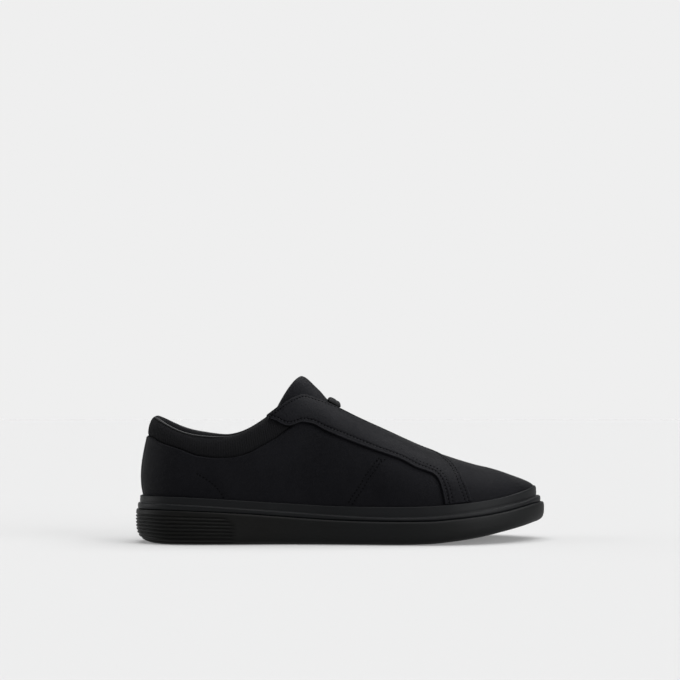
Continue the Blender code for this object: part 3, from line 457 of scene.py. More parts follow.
def make_finish(name, dark, light, rough, shine, relief, mottle=40.0, **sockets):
    """A finish: two colours in thousandths, two roughnesses, its shine and its relief in mm."""
    FINISHES[name], shader = new_material(name)
    with_sockets(shader, Specular_IOR_Level=shine, **sockets)
    nodes, links = shader.id_data.nodes, shader.id_data.links
    place = nodes.new("ShaderNodeTexCoord").outputs["Object"]
    patches = add_node(nodes, "TexNoise", Scale=mottle, Detail=5.0)
    links.new(place, patches.inputs["Vector"])
    spread = nodes.new("ShaderNodeValToRGB")
    for end, where, colour in zip(spread.color_ramp.elements, PATCH_RANGE, (dark, light)):
        end.position, end.color = where, (*(MM * part for part in colour), 1)
    links.new(patches.outputs["Fac"], spread.inputs["Fac"])
    links.new(spread.outputs["Color"], shader.inputs["Base Color"])
    gloss = add_node(nodes, "MapRange", From_Min=PATCH_RANGE[0], From_Max=PATCH_RANGE[1],
                     To_Min=rough[0], To_Max=rough[1])
    links.new(patches.outputs["Fac"], gloss.inputs["Value"])
    links.new(gloss.outputs["Result"], shader.inputs["Roughness"])
    height = None
    for kind, scale, depth in relief:
        scaled = nodes.new("ShaderNodeMath")
        scaled.operation = "MULTIPLY_ADD" if height else "MULTIPLY"
        scaled.inputs[1].default_value = depth * MM
        links.new(relief_layer(nodes, links, place, kind, scale), scaled.inputs[0])
        if height:
            links.new(height, scaled.inputs[2])
        height = scaled.outputs["Value"]
    bump = add_node(nodes, "Bump", Distance=1.0)
    links.new(height, bump.inputs["Height"])
    links.new(bump.outputs["Normal"], shader.inputs["Normal"])


def relief_layer(nodes, links, place, kind, scale):
    """One layer of relief from 0 to 1: pebbles of grain, pores, or threads along one axis."""
    if kind == "grain":
        texture = add_node(nodes, "TexVoronoi", Scale=scale)
        texture.feature = "DISTANCE_TO_EDGE"
        rounded = add_node(nodes, "MapRange", From_Max=0.32)
        rounded.interpolation_type = "SMOOTHSTEP"
        links.new(texture.outputs["Distance"], rounded.inputs["Value"])
        layer = rounded.outputs["Result"]
    elif kind == "pores":
        texture = add_node(nodes, "TexNoise", Scale=scale, Detail=4.0)
        layer = texture.outputs["Fac"]
    else:
        texture = add_node(nodes, "TexWave", Scale=scale, Distortion=0.6, Detail=1.0)
        texture.bands_direction = kind
        layer = texture.outputs["Fac"]
    links.new(place, texture.inputs["Vector"])
    return layer


make_finish("black_leather", (2, 2, 2.6), (3.2, 3.2, 4), (0.50, 0.60), 0.070,
            (("grain", 1050, 0.11), ("pores", 3200, 0.04), ("pores", 120, 0.34)),
            Specular_Tint=COOL)
for name, shine in (("overlay_leather", 0.070), ("tongue_leather", 0.092)):
    make_finish(name, (2.2, 2.2, 2.8), (3.4, 3.4, 4.2), (0.46, 0.56), shine,
                (("grain", 1150, 0.1), ("pores", 3400, 0.04), ("pores", 150, 0.34)),
                Specular_Tint=COOL)
make_finish("ribbed_knit", (2.6, 2.6, 3.2), (4.3, 4.3, 5.1), (0.82, 0.92), 0.10,
            (("Z", 420, 0.12), ("pores", 2600, 0.12)), Sheen_Weight=0.014, Sheen_Roughness=0.45)
make_finish("gore_elastic", (3, 3, 3.6), (4.6, 4.6, 5.2), (0.6, 0.7), 0.13,
            (("X", 330, 0.08), ("pores", 2400, 0.09)), Sheen_Weight=0.02, Sheen_Roughness=0.4)
make_finish("lining_fabric", (7, 7, 7.4), (11, 11, 11.6), (0.85, 0.95), 0.15,
            (("X", 500, 0.06), ("Y", 500, 0.06), ("pores", 2200, 0.06)),
            Sheen_Weight=0.03, Sheen_Roughness=0.5)
make_finish("outsole_rubber", (3.4, 3.4, 3.1), (4.6, 5, 5.2), (0.46, 0.56), 0.11,
            (("pores", 1800, 0.05), ("pores", 260, 0.08)), mottle=12.0)
make_finish("midsole_foam", (3.7, 4.1, 4.6), (5.4, 5.9, 6.6), (0.44, 0.54), 0.13,
            (("pores", 2000, 0.04), ("pores", 240, 0.06)), mottle=15.0)
# The bound edge is a real binding, but its colour, lighter than the leather, is partly a painted
# highlight along the collar's rim.
make_finish("binding_painted_highlight", (6, 6, 6.6), (8.5, 8.5, 9.2), (0.42, 0.50), 0.25,
            (("pores", 2400, 0.03),))
# The thread's colour is partly its own black and partly painted shade for the stitch holes.
make_finish("thread", (0.5, 0.5, 0.6), (0.9, 0.9, 1), (0.7, 0.8), 0.02, (("pores", 5200, 0.05),))
print("finishes:", ", ".join(FINISHES))

# %% [markdown]
# ## Seams and edges on the upper
# The leather stops at a curved seam under the knit collar and at the slot that the gore fills.
# The slot is hidden under the eyestays, but the leather really ends there, so it does here too.

# %% Edges of the leather
SEAM = curve(*(np.array((
    (10, 840), (35, 829), (58, 789), (107, 735), (153, 682), (199, 666), (234, 673), (268, 703),
    (305, 769), (331, 816), (354, 872), (387, 962),
)) / 1000).T)
THROAT_BASE = LENGTH * 0.7067
THROAT_TOP = LENGTH * 0.42
THROAT_HALF_BASE = 13.5
THROAT_HALF_TOP = 18.5
OVERLAY_COVER = 3.0
COLLAR_END_ROW = 9.9
rise_table = COLLAR_HEIGHT * np.where(loop_side > 0, SECTION["rise"](loop_row), 0.0)[:, None]


def middle_y(x):
    return ridge_y(np.asarray(x) / LENGTH)


def seam_v(place):
    """v of the seam between the leather and the knit collar."""

    def above(v):
        p = last(place, v)
        return p[..., 2] > COLLAR_HEIGHT * SEAM(p[..., 0] / LENGTH) + at(place, rise_table)[..., 0]

    return crossing(above, 0 * place, 0 * place + 1)


def throat_side(x, cover=0.0):
    share = np.clip((THROAT_BASE - x) / (THROAT_BASE - THROAT_TOP), 0, 1)
    return THROAT_HALF_BASE + (THROAT_HALF_TOP - THROAT_HALF_BASE) * share - cover


def throat_half(x, cover=0.0):
    """Half width of the slot at x, which ends in a half round at the throat's base."""
    half = throat_side(x, cover)
    into_end = np.clip((x - (THROAT_BASE - cover - half)) / half, 0, 1)
    return half * np.sqrt(1 - into_end ** 2)


def throat_v(place, width=throat_half, cover=0.0):
    """v where a rib meets the edge of the slot, or 1 where it misses it."""

    def in_slot(v):
        p = last(place, v)
        return np.abs(p[..., 1] - middle_y(p[..., 0])) < width(p[..., 0], cover)

    near_top = 0 * place + 0.9995
    return np.where(in_slot(near_top), crossing(in_slot, 0 * place + 0.3, near_top), 1.0)

# %% [markdown]
# ## The leather upper
# One closed skin, 2 mm thick: the outside, the lining side, and the turned edges between them. A
# stitched seam pulls leather into a shallow valley, so the outside sinks a little along each
# stitched line. The seam lines are drawn in a side view and laid onto the last.

# %% The upper
MIDFOOT_SEAM = ((577, 630), (565, 598), (557, 554), (545, 513), (537, 475), (529, 425), (516, 372),
                (505, 320), (501, 296))
MIDFOOT_TOP = ((566, 601), (578, 612), (592, 612))
COUNTER_SEAM = ((146, 516), (158, 496), (172, 470), (186, 438), (198, 400), (207, 360), (213, 330))
BACKSTAY_PLACE = 0.8


def side_line(side, shares, count, shift=0.0):
    """A smooth line drawn in the side view in thousandths, as places at even lengths."""
    shares = np.array(shares) / 1000
    t = np.arange(len(shares))
    fine = np.linspace(0, len(shares) - 1, 200)
    x = LENGTH * np.interp(fine, t, shares[:, 0])
    z = INSTEP_HEIGHT * np.interp(fine, t, shares[:, 1])
    kernel = np.ones(31) / 31
    x[15:-15], z[15:-15] = (np.convolve(values, kernel, "valid") for values in (x, z))
    x, z = even_samples((x, z), np.stack([x, z], 1), count)
    slant = unit(np.gradient(np.stack([x, z], 1), axis=0))
    return on_side(side, x - slant[:, 1] * shift, z + slant[:, 0] * shift)


def backstay_line(place):
    """The edge of the narrow strip that covers the seam down the back of the heel."""
    v = np.linspace(0.02, float(seam_v(np.array(place))), 40)
    return 0 * v + place, v


def resting(line, offset):
    """Points and normals of a line of places on the last, at an offset from it."""
    return shell(*line, offset), last_normal(*line)


leather_lines = []
for side in (-1, 1):
    leather_lines += [side_line(side, MIDFOOT_SEAM, 60), side_line(side, MIDFOOT_SEAM, 60, 3.0)]
    leather_lines += [side_line(side, MIDFOOT_TOP, 14), side_line(side, COUNTER_SEAM, 34)]


def valleys(points, lines, width, depth):
    """Depth of the valleys that stitched lines pull into the leather at these points."""
    tree = kdtree.KDTree(sum(len(line) for line in lines))
    for i, p in enumerate(np.concatenate(lines)):
        tree.insert(p, i)
    tree.balance()
    flat = points.reshape(-1, 3)
    distance = np.array([tree.find(p)[2] for p in flat]).reshape(points.shape[:-1])
    return depth * bell(distance, width)


LEVELS = 60
SEAM_WIDTH, SEAM_DEPTH = 0.8, 0.22
FOLD_WIDTH, FOLD_DEPTH = 0.7, 0.5
TURNED_EDGE = 0.6
places = np.arange(0, 2 * TOE_ROW, 2 * LOOP_STEP)
row = row_of(places)
seams, slot = seam_v(places), throat_v(places)
other = throat_v((2 * TOE_ROW - places) % (2 * TOE_ROW))
slot = np.where((row > RIDGE_START) & (np.maximum(slot, other) >= 1), 1.0, slot)
tops = np.where(row <= COLLAR_END_ROW, seams, slot)
v = tops[:, None] * (np.arange(LEVELS + 1) / LEVELS)
wall = last(places[:, None], v)
wall_normal = last_normal(places[:, None], v)
folds = [backstay_line(BACKSTAY_PLACE), backstay_line(-BACKSTAY_PLACE)]
sink = valleys(wall, [last(*line) for line in leather_lines], SEAM_WIDTH, SEAM_DEPTH)
sink += valleys(wall, [last(*line) for line in folds], FOLD_WIDTH, FOLD_DEPTH)
turned = TURNED_EDGE * bell(tops[:, None] - v, 0.006) * (tops < 1)[:, None]
outside = wall - wall_normal * (sink + turned)[..., None]
inside = wall - wall_normal * UPPER_WALL
highest = np.where(v > 0.9, wall[..., 2] - 0.9 * UPPER_WALL, np.inf)
inside[..., 2] = np.minimum(inside[..., 2], highest)


def cup_floor(x):
    return sole_height("rim", x) - CUP_DEPTH


def with_foot(grid, depth):
    """The wall carried straight down into the cup of the sole."""
    foot = last(places, 0 * places) - at(places, outward) * depth
    low, rim = foot.copy(), foot.copy()
    low[:, 2] = cup_floor(foot[:, 0]) + GAP
    rim[:, 2] = np.minimum(foot[:, 2], grid[:, 0, 2]) - GAP
    return np.concatenate([low[:, None], rim[:, None], grid[:, 1:]], 1)


grids = with_foot(outside, 0.0), with_foot(inside, UPPER_WALL)
grids = [np.swapaxes(grid, 0, 1) for grid in grids]
points, faces = skin(*grids, around=True)
make_piece("leather_upper", points, faces, "black_leather", ["upper"], weld=True)

# %% [markdown]
# ## The padded collar
# Behind the leather's edge sits a soft roll: foam wrapped in rib knit. The section below runs from
# the seam up the outside, over the rim and down inside. The knit's ribs stand upright side by side,
# so each is a real ridge and the rim shows their tiny scallops. A thin bound edge follows the rim
# along both sides, and fades out towards the middle of the heel and towards the ears. Its colour,
# lighter than the leather, is partly a painted highlight along the rim's crest, and it fades where
# that highlight fades.

# %% The collar
COLLAR_PAD = 8.0
KNIT_PITCH = 1.7
KNIT_RIDGE = 0.34
BINDING_WIDE, BINDING_HIGH, BINDING_DROP, BINDING_IN = 1.25, 0.8, 1.45, 0.36
COLLAR_SECTION = np.array((
    (0.00, 0.30), (0.03, 0.16), (0.12, 0.08), (0.30, 0.03), (0.52, 0.03), (0.74, 0.10),
    (0.89, 0.24), (0.97, 0.42), (0.97, 0.62), (0.88, 0.80), (0.70, 0.93), (0.45, 1.00),
    (0.15, 0.98), (-0.15, 0.84), (-0.36, 0.56), (-0.40, 0.38), (-0.20, 0.34),
))


def round_loop(points, count):
    """A closed loop of points made smooth and even."""
    closed = np.concatenate([points, points[:1]])
    s = lengths_along(closed)
    even = np.linspace(0, s[-1], 8 * count, endpoint=False)
    fine = np.stack([np.interp(even, s, c) for c in closed.T], 1)
    return loop_average(fine, count // 3, count // 3 / 2.6)[::8]


rim_places = np.linspace(COLLAR_END_ROW, -COLLAR_END_ROW, 1200)
middle_line = last(rim_places, (seam_v(rim_places) + 1) / 2)
knit_length = lengths_along(middle_line)[-1]
stations = int(knit_length / KNIT_PITCH) * 5
rim_places, = even_samples((rim_places,), middle_line, stations)
rim_s = np.linspace(0, knit_length, stations)
section = round_loop(COLLAR_SECTION * [30, COLLAR_PAD], 46) / [30, COLLAR_PAD]
rim_seam = seam_v(rim_places)
v = rim_seam[:, None] + (1 - rim_seam[:, None]) * section[:, 0]
knit = 0.55 - np.abs(np.sin(np.pi * rim_s / KNIT_PITCH))[:, None] ** 0.7
outer_side = ease(0.93, 0.55, section[:, 1]) * ease(-0.2, 0.02, section[:, 0])
depth = COLLAR_PAD * section[:, 1] + KNIT_RIDGE * knit * outer_side
collar_points = shell(rim_places[:, None], v, -depth)
collar = make_piece("knit_collar", collar_points, tube(collar_points), "ribbed_knit", ["collar"])

along_rim = middle_line[np.linspace(0, len(middle_line) - 1, stations).astype(int)]
edge_places, = even_samples((rim_places,), along_rim, 320)
edge_normal = last_normal(edge_places, 0 * edge_places + 0.99)
edge_line = last(edge_places, 0 * edge_places + 1) - edge_normal * COLLAR_PAD * BINDING_IN
edge_up = unit(last(edge_places, 0 * edge_places + 1) - last(edge_places, 0 * edge_places + 0.95))
edge_row = row_of(edge_places)
# The binding shrinks away where the rim's highlight fades, since its lighter colour paints that
# highlight.
highlight_fade = 0.05 + 0.85 * ease(6.6, 4.6, edge_row) * ease(0.0, 1.3, edge_row)
centres = edge_line - edge_up * (BINDING_DROP - 0.9 * highlight_fade)[:, None]
turn = np.linspace(0, 2 * np.pi, 12, endpoint=False)[:, None]
out = edge_normal[:, None] * np.cos(turn) * (BINDING_WIDE * highlight_fade)[:, None, None]
rise = edge_up[:, None] * np.sin(turn) * (BINDING_HIGH * highlight_fade)[:, None, None]
points = centres[:, None] + out + rise
make_piece("collar_binding_highlight", points, tube(points), "binding_painted_highlight")
print("knit ribs:", int(knit_length / KNIT_PITCH))

# %% [markdown]
# ## Stitches
# A sewn row is a line of short threads that dip into the leather at both ends, so each stitch is a
# small capsule of its own, bent down at its ends. The thread is darker than the leather: black
# thread, made darker still as painted shade for the shaded stitch holes. Rows are drawn as lines of
# places on the last.

# %% Stitching
STITCH_SIDES = 6
STITCH_RINGS = np.linspace(-1, 1, 6)
STITCH_PITCH, STITCH_SHARE, THREAD_RADIUS = 2.5, 0.27, 0.40
THREAD_LIFT, THREAD_DIP = 0.04, 0.34


def stitches(points, normals):
    """Points and faces of one sewn row along a line."""
    s = lengths_along(points)
    count = max(2, int(s[-1] / STITCH_PITCH))
    middles = (np.arange(count) + 0.5) * s[-1] / count

    def along_row(values, shift):
        return np.stack([np.interp(middles + shift, s, c) for c in values.T], 1)

    half = STITCH_SHARE * STITCH_PITCH
    up_vector = unit(along_row(normals, 0))
    forward = unit(along_row(points, half) - along_row(points, -half))
    across = np.cross(forward, up_vector)
    turn = 2 * np.pi * np.arange(STITCH_SIDES) / STITCH_SIDES
    thick = THREAD_RADIUS * np.sqrt(np.maximum(1 - STITCH_RINGS ** 4, 0.02))
    lift = THREAD_LIFT - THREAD_DIP * STITCH_RINGS ** 2
    reach = (half * STITCH_RINGS)[:, None, None]
    rise = (lift[:, None] + np.sin(turn) * thick[:, None])[..., None]
    side = (np.cos(turn) * thick[:, None])[..., None]
    centre, forward, up_vector, across = (
        vectors[:, None, None] for vectors in (along_row(points, 0), forward, up_vector, across))
    cloud = centre + forward * reach + up_vector * rise + across * side
    one = quads(len(STITCH_RINGS), STITCH_SIDES, around=True)
    per = len(STITCH_RINGS) * STITCH_SIDES
    return cloud.reshape(-1, 3), (one + per * np.arange(count)[:, None, None]).reshape(-1, 4)


def sew(name, lines):
    """One piece for all the sewn rows of a part, from points and normals of each row."""
    points, faces, start = [], [], 0
    for line in lines:
        p, f = stitches(*line)
        points.append(p)
        faces.append(f + start)
        start += len(p)
    return make_piece(name, np.concatenate(points), faces, "thread")


sew("upper_stitching", [resting(line, -0.12) for line in leather_lines])

# %% [markdown]
# ## The eyestays
# A strip of leather on each side, from an ear at the collar, along the throat and down to the sole.
# Its lower edge is folded and stitched, which leaves a thin rounded lip that catches the light, and
# the other edge follows the throat. Each row of the table is a station on both edges, in a side
# view, so the strip's outline can be changed on its own. Two more rows are sewn down the leg, and
# a short one crosses at its top.

# %% The eyestays
EYESTAY = np.array((
    (315, 905, 317, 932), (334, 886, 340, 989), (347, 863, 356, 1026), (363, 850, 370, 1055),
    (376, 858, 384, 1081), (395, 876, 401, 1091), (417, 866, 424, 1071), (449, 817, 459, 1021),
    (505, 741, 521, 919), (562, 675, 584, 806), (626, 604, 653, 714), (662, 546, 700, 664),
    (684, 522, 725, 630), (700, 501, 744, 609), (711, 465, 758, 568), (717, 415, 768, 503),
    (721, 360, 778, 427), (724, 312, 787, 349), (725.3, 290, 792, 308),
)) / 1000
LEG_TOP_ROW = ((740, 562), (750, 549), (762, 530))
EYESTAY_STRAIGHT_END = LENGTH * 0.7283
EAR_CORNER = LENGTH * 0.4033
OVERLAY_TOP = 1.6
STRIP_UNDERSIDE, STRIP_RIM, STRIP_ROUNDING = 0.12, 0.25, 0.6
LOW_ROWS, HIGH_ROWS, LEG_START = (3.2, 6.0), (2.6, 5.4), 0.70
LIP_HEIGHT, LIP_WIDTH = 0.34, 0.26
LOW_VALLEY, VALLEY, VALLEY_WIDTH, LEG_VALLEY_WIDTH = 0.26, 0.24, 0.36, 0.4
THREAD_SINK = 0.14
STRIP_STATIONS = 300
STRIP_EDGE = np.array((0, 0.1, 0.25, 0.45, 0.7, 1.0, 1.4, 1.9, 2.3, 2.6, 2.85, 3.1, 3.35, 3.6,
                       3.9, 4.4))
CORNER_ROUNDING = 7.0


def strip_edges(side):
    """Places of the low and of the high edge of an eyestay, station by station."""
    index = np.arange(len(EYESTAY))
    fine = np.linspace(0, len(EYESTAY) - 1, 1200)
    edges = [curve(index, column)(fine) for column in EYESTAY.T]
    middle = np.stack([edges[0] + edges[2], (edges[1] + edges[3]) * INSTEP_HEIGHT / LENGTH], 1)
    low_x, low_z, high_x, high_z = even_samples(edges, middle, STRIP_STATIONS)
    x = LENGTH * high_x
    low = np.array(on_side(side, LENGTH * low_x, INSTEP_HEIGHT * low_z))
    side_place = np.array(on_side(side, x, INSTEP_HEIGHT * high_z))

    def on_throat(row):
        place = loop_place(side, row)
        return place, throat_v(place, throat_side, OVERLAY_COVER)

    def rim_ahead(row):
        return at(loop_place(side, row), CONTROLS[3])[..., 0] > x

    def throat_ahead(row):
        return last(*on_throat(row))[..., 0] > x

    rim_row = crossing(rim_ahead, 0 * x, 0 * x + TOE_ROW)
    throat_row = crossing(throat_ahead, 0 * x + RIDGE_START - 4, 0 * x + TOE_ROW)
    throat = np.array(on_throat(throat_row))
    rim = np.array((loop_place(side, rim_row), 0 * x + 1))
    high = np.where(x > EYESTAY_STRAIGHT_END, side_place, np.where(x < EAR_CORNER, rim, throat))
    return low, rounded_corners(high)


def rounded_corners(line):
    """A line of places with its corners softened, as scissors leave them."""
    reach = int(3 * CORNER_ROUNDING)
    weights = soft_weights(reach, CORNER_ROUNDING)
    padded_line = np.pad(line, ((0, 0), (reach, reach)), mode="reflect", reflect_type="odd")
    return np.array([np.convolve(values, weights, "valid") for values in padded_line])


def strip_shares(width):
    """Shares across the strip, close together at both edges where it is folded and sewn."""
    edge = STRIP_EDGE * np.minimum(1, width / 11)
    inner = width - 2 * edge[:, -1:]
    middle = edge[:, -1:] + inner * np.linspace(0, 1, 14)[1:-1]
    return np.concatenate([edge, middle, width - edge[:, ::-1]], 1) / width


def strip_line(low, high, distance, from_high, stations):
    """A line on the strip at a distance from one of its edges."""
    low, high = low[:, stations], high[:, stations]
    width = np.linalg.norm(last(*high) - last(*low), axis=1)
    share = distance / width
    share = 1 - share if from_high else share
    keep = (share > 0.04) & (share < 0.96)
    place, v = (low + (high - low) * share)[:, keep]
    return resting((place, v), OVERLAY_TOP - THREAD_SINK)


for side, name in ((-1, "eyestay_lateral"), (1, "eyestay_medial")):
    low, high = strip_edges(side)
    width = np.linalg.norm(last(*high) - last(*low), axis=1)[:, None]
    share = strip_shares(width)
    grid = low[:, :, None] + (high - low)[:, :, None] * share
    from_low, from_high = width * share, width * (1 - share)
    along_mm = lengths_along(last(*((low + high) / 2)))[:, None]
    ends = along_mm / along_mm[-1]
    from_end = np.minimum(along_mm, along_mm[-1] - along_mm)
    border = np.minimum(np.minimum(from_low, from_high), from_end + 0.25)
    rounding = np.sqrt(1 - (1 - np.clip(border / STRIP_ROUNDING, 0, 1)) ** 2)
    lip = LIP_HEIGHT * bell(from_low - STRIP_ROUNDING, LIP_WIDTH) * ease(0.0, 0.5, from_low)
    sewn = LOW_VALLEY * bell(from_low - LOW_ROWS[0], VALLEY_WIDTH)
    sewn = sewn + VALLEY * bell(from_high - HIGH_ROWS[0], VALLEY_WIDTH)
    on_leg = bell(from_low - LOW_ROWS[1], LEG_VALLEY_WIDTH)
    on_leg = on_leg + bell(from_high - HIGH_ROWS[1], LEG_VALLEY_WIDTH)
    sewn = sewn + VALLEY * ease(LEG_START + 0.02, LEG_START + 0.06, ends) * on_leg
    top_side = STRIP_RIM + (OVERLAY_TOP - STRIP_RIM) * rounding + lip - sewn * rounding
    points, faces = skin(shell(*grid, top_side), shell(*grid, STRIP_UNDERSIDE))
    make_piece(f"{name}_strip", points, faces, "overlay_leather", [name], weld=True)
    leg = slice(int(STRIP_STATIONS * LEG_START), STRIP_STATIONS - 2)
    rows = [strip_line(low, high, distance, from_high, stations)
            for stations, distances in zip((slice(None), leg), zip(LOW_ROWS, HIGH_ROWS))
            for distance, from_high in zip(distances, (False, True))]
    rows.append(resting(side_line(side, LEG_TOP_ROW, 12), OVERLAY_TOP - THREAD_SINK))
    sew(f"{name}_stitching", rows)

# %% [markdown]
# ## The elastic gore and its hem
# Between the strips lies a fan of elastic, level with the leather, with ribs running lengthwise.
# Its free end is rolled over into a soft hem that stands proud of the instep.

# %% The gore and the hem
GORE_TOP = LENGTH * 0.49
GORE_RIB, GORE_RIDGE, GORE_DIP = 1.35, 0.16, 0.5
GORE_DEPTH, GORE_UNDERSIDE, GORE_TUCK = 0.25, 1.4, 3.0


def on_top(x, y):
    """Points and normals of the last above plan points."""
    x, y = np.broadcast_arrays(np.asarray(x, float), np.asarray(y, float))
    side = np.where(y < middle_y(x), -1, 1)
    line = find_point(side, x, lambda p: side * (p[..., 1] - y) < 0, 9, 0.25, (20, 20))
    return last(*line), last_normal(*line)


share = np.linspace(-1, 1, 101)
t = np.linspace(0, 1, 56)[:, None]
gore_end = THROAT_BASE - 1.3
x = GORE_TOP - GORE_TUCK + (gore_end - GORE_TOP + GORE_TUCK) * (1 - (1 - t) ** 1.8)
half = throat_half(x, 1.0)
y = middle_y(x) + half * share
point, normal = on_top(x, y)
ribs = GORE_RIDGE * np.abs(np.sin(np.pi * (half * share) / GORE_RIB)) * np.ones_like(y)
dip = GORE_DIP * (1 - share ** 2) * ease(gore_end, gore_end - 20, x)
face = point - normal * (GORE_DEPTH + dip - ribs)[..., None]
back = point - normal * (GORE_UNDERSIDE + dip)[..., None]
points, faces = skin(face, back)
make_piece("elastic_gore", points, faces, "gore_elastic", ["gore"], weld=True)

HEM_LENGTH, HEM_THICKNESS, HEM_RISE = 9.0, 3.4, 2.0
HEM_RIDGE, HEM_FOLD = 0.12, 0.35
hem_x = GORE_TOP - HEM_LENGTH / 2 - GAP
hem_share = np.linspace(-1, 1, 90)
hem_half = throat_half(hem_x, OVERLAY_COVER) - 0.9
hem_y = middle_y(hem_x) + hem_half * hem_share
hem_point, _ = on_top(hem_x + 0 * hem_y, hem_y)
forward = unit(np.array([1.0, 0.0, float(ridge_slope(GORE_TOP))]))
hem_up = np.array([-forward[2], 0.0, forward[0]])
turn = 2 * np.pi * np.arange(40) / 40
wide = np.sign(np.cos(turn)) * np.abs(np.cos(turn)) ** 0.6 * HEM_LENGTH / 2
high_part = np.sign(np.sin(turn)) * np.abs(np.sin(turn)) ** 0.8 * HEM_THICKNESS / 2
hem_ribs = HEM_RIDGE * np.abs(np.sin(np.pi * hem_half * hem_share / GORE_RIB))[:, None]
fold = HEM_FOLD * bell(wide - HEM_LENGTH * 0.16, 0.5) * (high_part > 0)
taper = np.sqrt(1 - (np.abs(hem_share) ** 14))[:, None]
rise = (high_part + np.sign(high_part) * hem_ribs - fold) * taper
hem_middle = (hem_point + hem_up * HEM_RISE)[:, None]
points = hem_middle + forward * wide[:, None] + hem_up * rise[..., None]
make_piece("rolled_hem", points, tube(points), "gore_elastic", ["gore_hem"])

# %% [markdown]
# ## The tongue
# A padded leaf of leather that comes out from under the gore and stands up above the instep. Its
# sides droop and sweep back. The stuffing swells it in the middle and thins out to a round edge.
# Each row of the table is a station, from under the gore to the tip: where it is, its lift above
# the instep, its half width, the droop of its sides, its thickness, and how far its sides sweep.

# %% The tongue
TONGUE = np.array((
    (0.682, -3.8, 9.0, 1.6, 2.4, 0.0), (0.632, -3.4, 11.5, 2.8, 2.6, 0.0),
    (0.572, -3.2, 13.0, 4.5, 2.8, 0.0), (0.522, -2.8, 14.0, 6.5, 3.0, 0.5),
    (0.492, -2.3, 14.6, 8.8, 3.4, 1.5), (0.462, 1.2, 15.2, 13.0, 4.0, 6.9),
    (0.443, 4.2, 15.6, 17.5, 4.6, 10.7), (0.426, 6.6, 15.9, 22.5, 5.2, 14.5),
    (0.409, 9.1, 15.9, 26.5, 5.4, 18.8), (0.399, 9.7, 15.4, 27.4, 3.4, 19.7),
))
TONGUE_TIP = len(TONGUE) - 1
TONGUE_STATIONS, TONGUE_COLUMNS, TONGUE_SWELL = 130, 61, 0.4
tongue_x, lift, tongue_half, droop, padding, sweep = (
    curve(range(len(TONGUE)), column) for column in TONGUE.T)
mouth_slope = (RIDGE_Z[1] - RIDGE_Z[0]) / (RIDGE_X[1] - RIDGE_X[0])


def ridge_line(x):
    """Height of the instep ridge at x, carried on straight above the mouth."""
    share = x / LENGTH
    beyond = INSTEP_HEIGHT * (RIDGE_Z[1] + mouth_slope * (share - RIDGE_X[1]))
    return np.where(share < RIDGE_X[1], beyond, ridge_z(share))


def tongue_point(place, share):
    """Top of the tongue. place runs along its table and share from side to side."""
    x = LENGTH * tongue_x(place)
    z = ridge_line(x) + lift(place)
    tip = ridge_line(LENGTH * TONGUE[-1, 0]) + TONGUE[-1, 1]
    z = z * (1 + (TONGUE_HEIGHT / tip - 1) * np.maximum(lift(place), 0) / TONGUE[-1, 1])
    out = np.abs(share)
    y = middle_y(x) + tongue_half(place) * share * (1.25 - 0.25 * share * share)
    x, z = x - sweep(place) * out ** 2, z - droop(place) * out ** 3
    return np.stack(np.broadcast_arrays(x, y, z), -1)


place = np.linspace(0, TONGUE_TIP, TONGUE_STATIONS)[:, None]
share = np.linspace(-1, 1, TONGUE_COLUMNS)
surface = tongue_point(place, share)
before, after = np.maximum(place - 0.03, 0), np.minimum(place + 0.03, TONGUE_TIP)
lengthwise = tongue_point(after, share) - tongue_point(before, share)
sideways = tongue_point(place, share + 0.02) - tongue_point(place, share - 0.02)
tongue_normal = unit(np.cross(sideways, lengthwise))
tongue_normal = np.where(tongue_normal[..., 2:] < 0, -tongue_normal, tongue_normal)
thick = padding(place) * (1 - 0.45 * np.abs(share) ** 3)
down = np.stack([lengths_along(line) for line in np.swapaxes(surface, 0, 1)], 1)
to_tip = down[-1] - down
across = np.array([lengths_along(line) for line in surface])
to_side = np.minimum(across, across[:, -1:] - across)
to_edge = np.minimum(to_tip, to_side)
rounding = np.sqrt(1 - (1 - np.clip(to_edge / (0.75 * thick), 0, 1)) ** 2)
swell = TONGUE_SWELL * ease(1.5, 9, to_edge) * ease(5.0, 6.0, place)
middle = surface - tongue_normal * (thick / 2)[..., None]
top_side = middle + tongue_normal * (thick / 2 * rounding + swell)[..., None]
low_side = middle - tongue_normal * (thick / 2 * rounding)[..., None]
points, faces = skin(top_side, low_side)
tongue = make_piece("padded_tongue", points, faces, "tongue_leather", ["tongue"],
                    weld=True)

# %% [markdown]
# ## The cup sole
# The sole is two mouldings. A rubber outsole wraps up the side, and a foam midsole sits in it with
# two bands, the upper one set back, so light catches the step between them. Each moulding is a
# stack of rings: one outline of the shoe, moved in by a distance and set at a height.

# %% The midsole
OUTSOLE_WALL = 2.9
BAND_BULGE, RIM_BULGE = 0.14, 0.12


def sole_ring(distance, low_line, high_line=None, share=0.0, lift=0.0):
    """A ring at an inset from the outline, at a share of the way between two of its lines."""
    ring = inset(distance)[::2]
    heights = sole_height(low_line, ring[:, 0])
    if high_line:
        heights = heights * (1 - share) + sole_height(high_line, ring[:, 0]) * share
    ring[:, 2] = heights + lift
    return ring


def rounded_edge(distance, line, radius, below=True, toe_radius=None):
    """Rings round a rounded top edge or, with below False, round a lower one."""
    turns = np.radians((0, 18, 36, 54, 72, 90))
    sign = -1 if below else 1
    radius = radius + ((toe_radius or radius) - radius) * ease(0.9, 1.0, foot_share)
    inward = np.minimum(radius, CUP_WALL - 0.2)
    rings = []
    for turn in turns:
        lift = sign * (radius * (1 - np.sin(turn)))[::2]
        rings.append(sole_ring(distance + inward * (1 - np.cos(turn)), line, lift=lift))
    return rings if below else rings[::-1]


def band(distance, lines, bulge, start, reach, steps):
    """Rings up the side of a band that swells a little between two lines of the sole."""
    return [sole_ring(distance - bulge * np.sin(np.pi * s), *lines, start + reach * s)
            for s in steps]


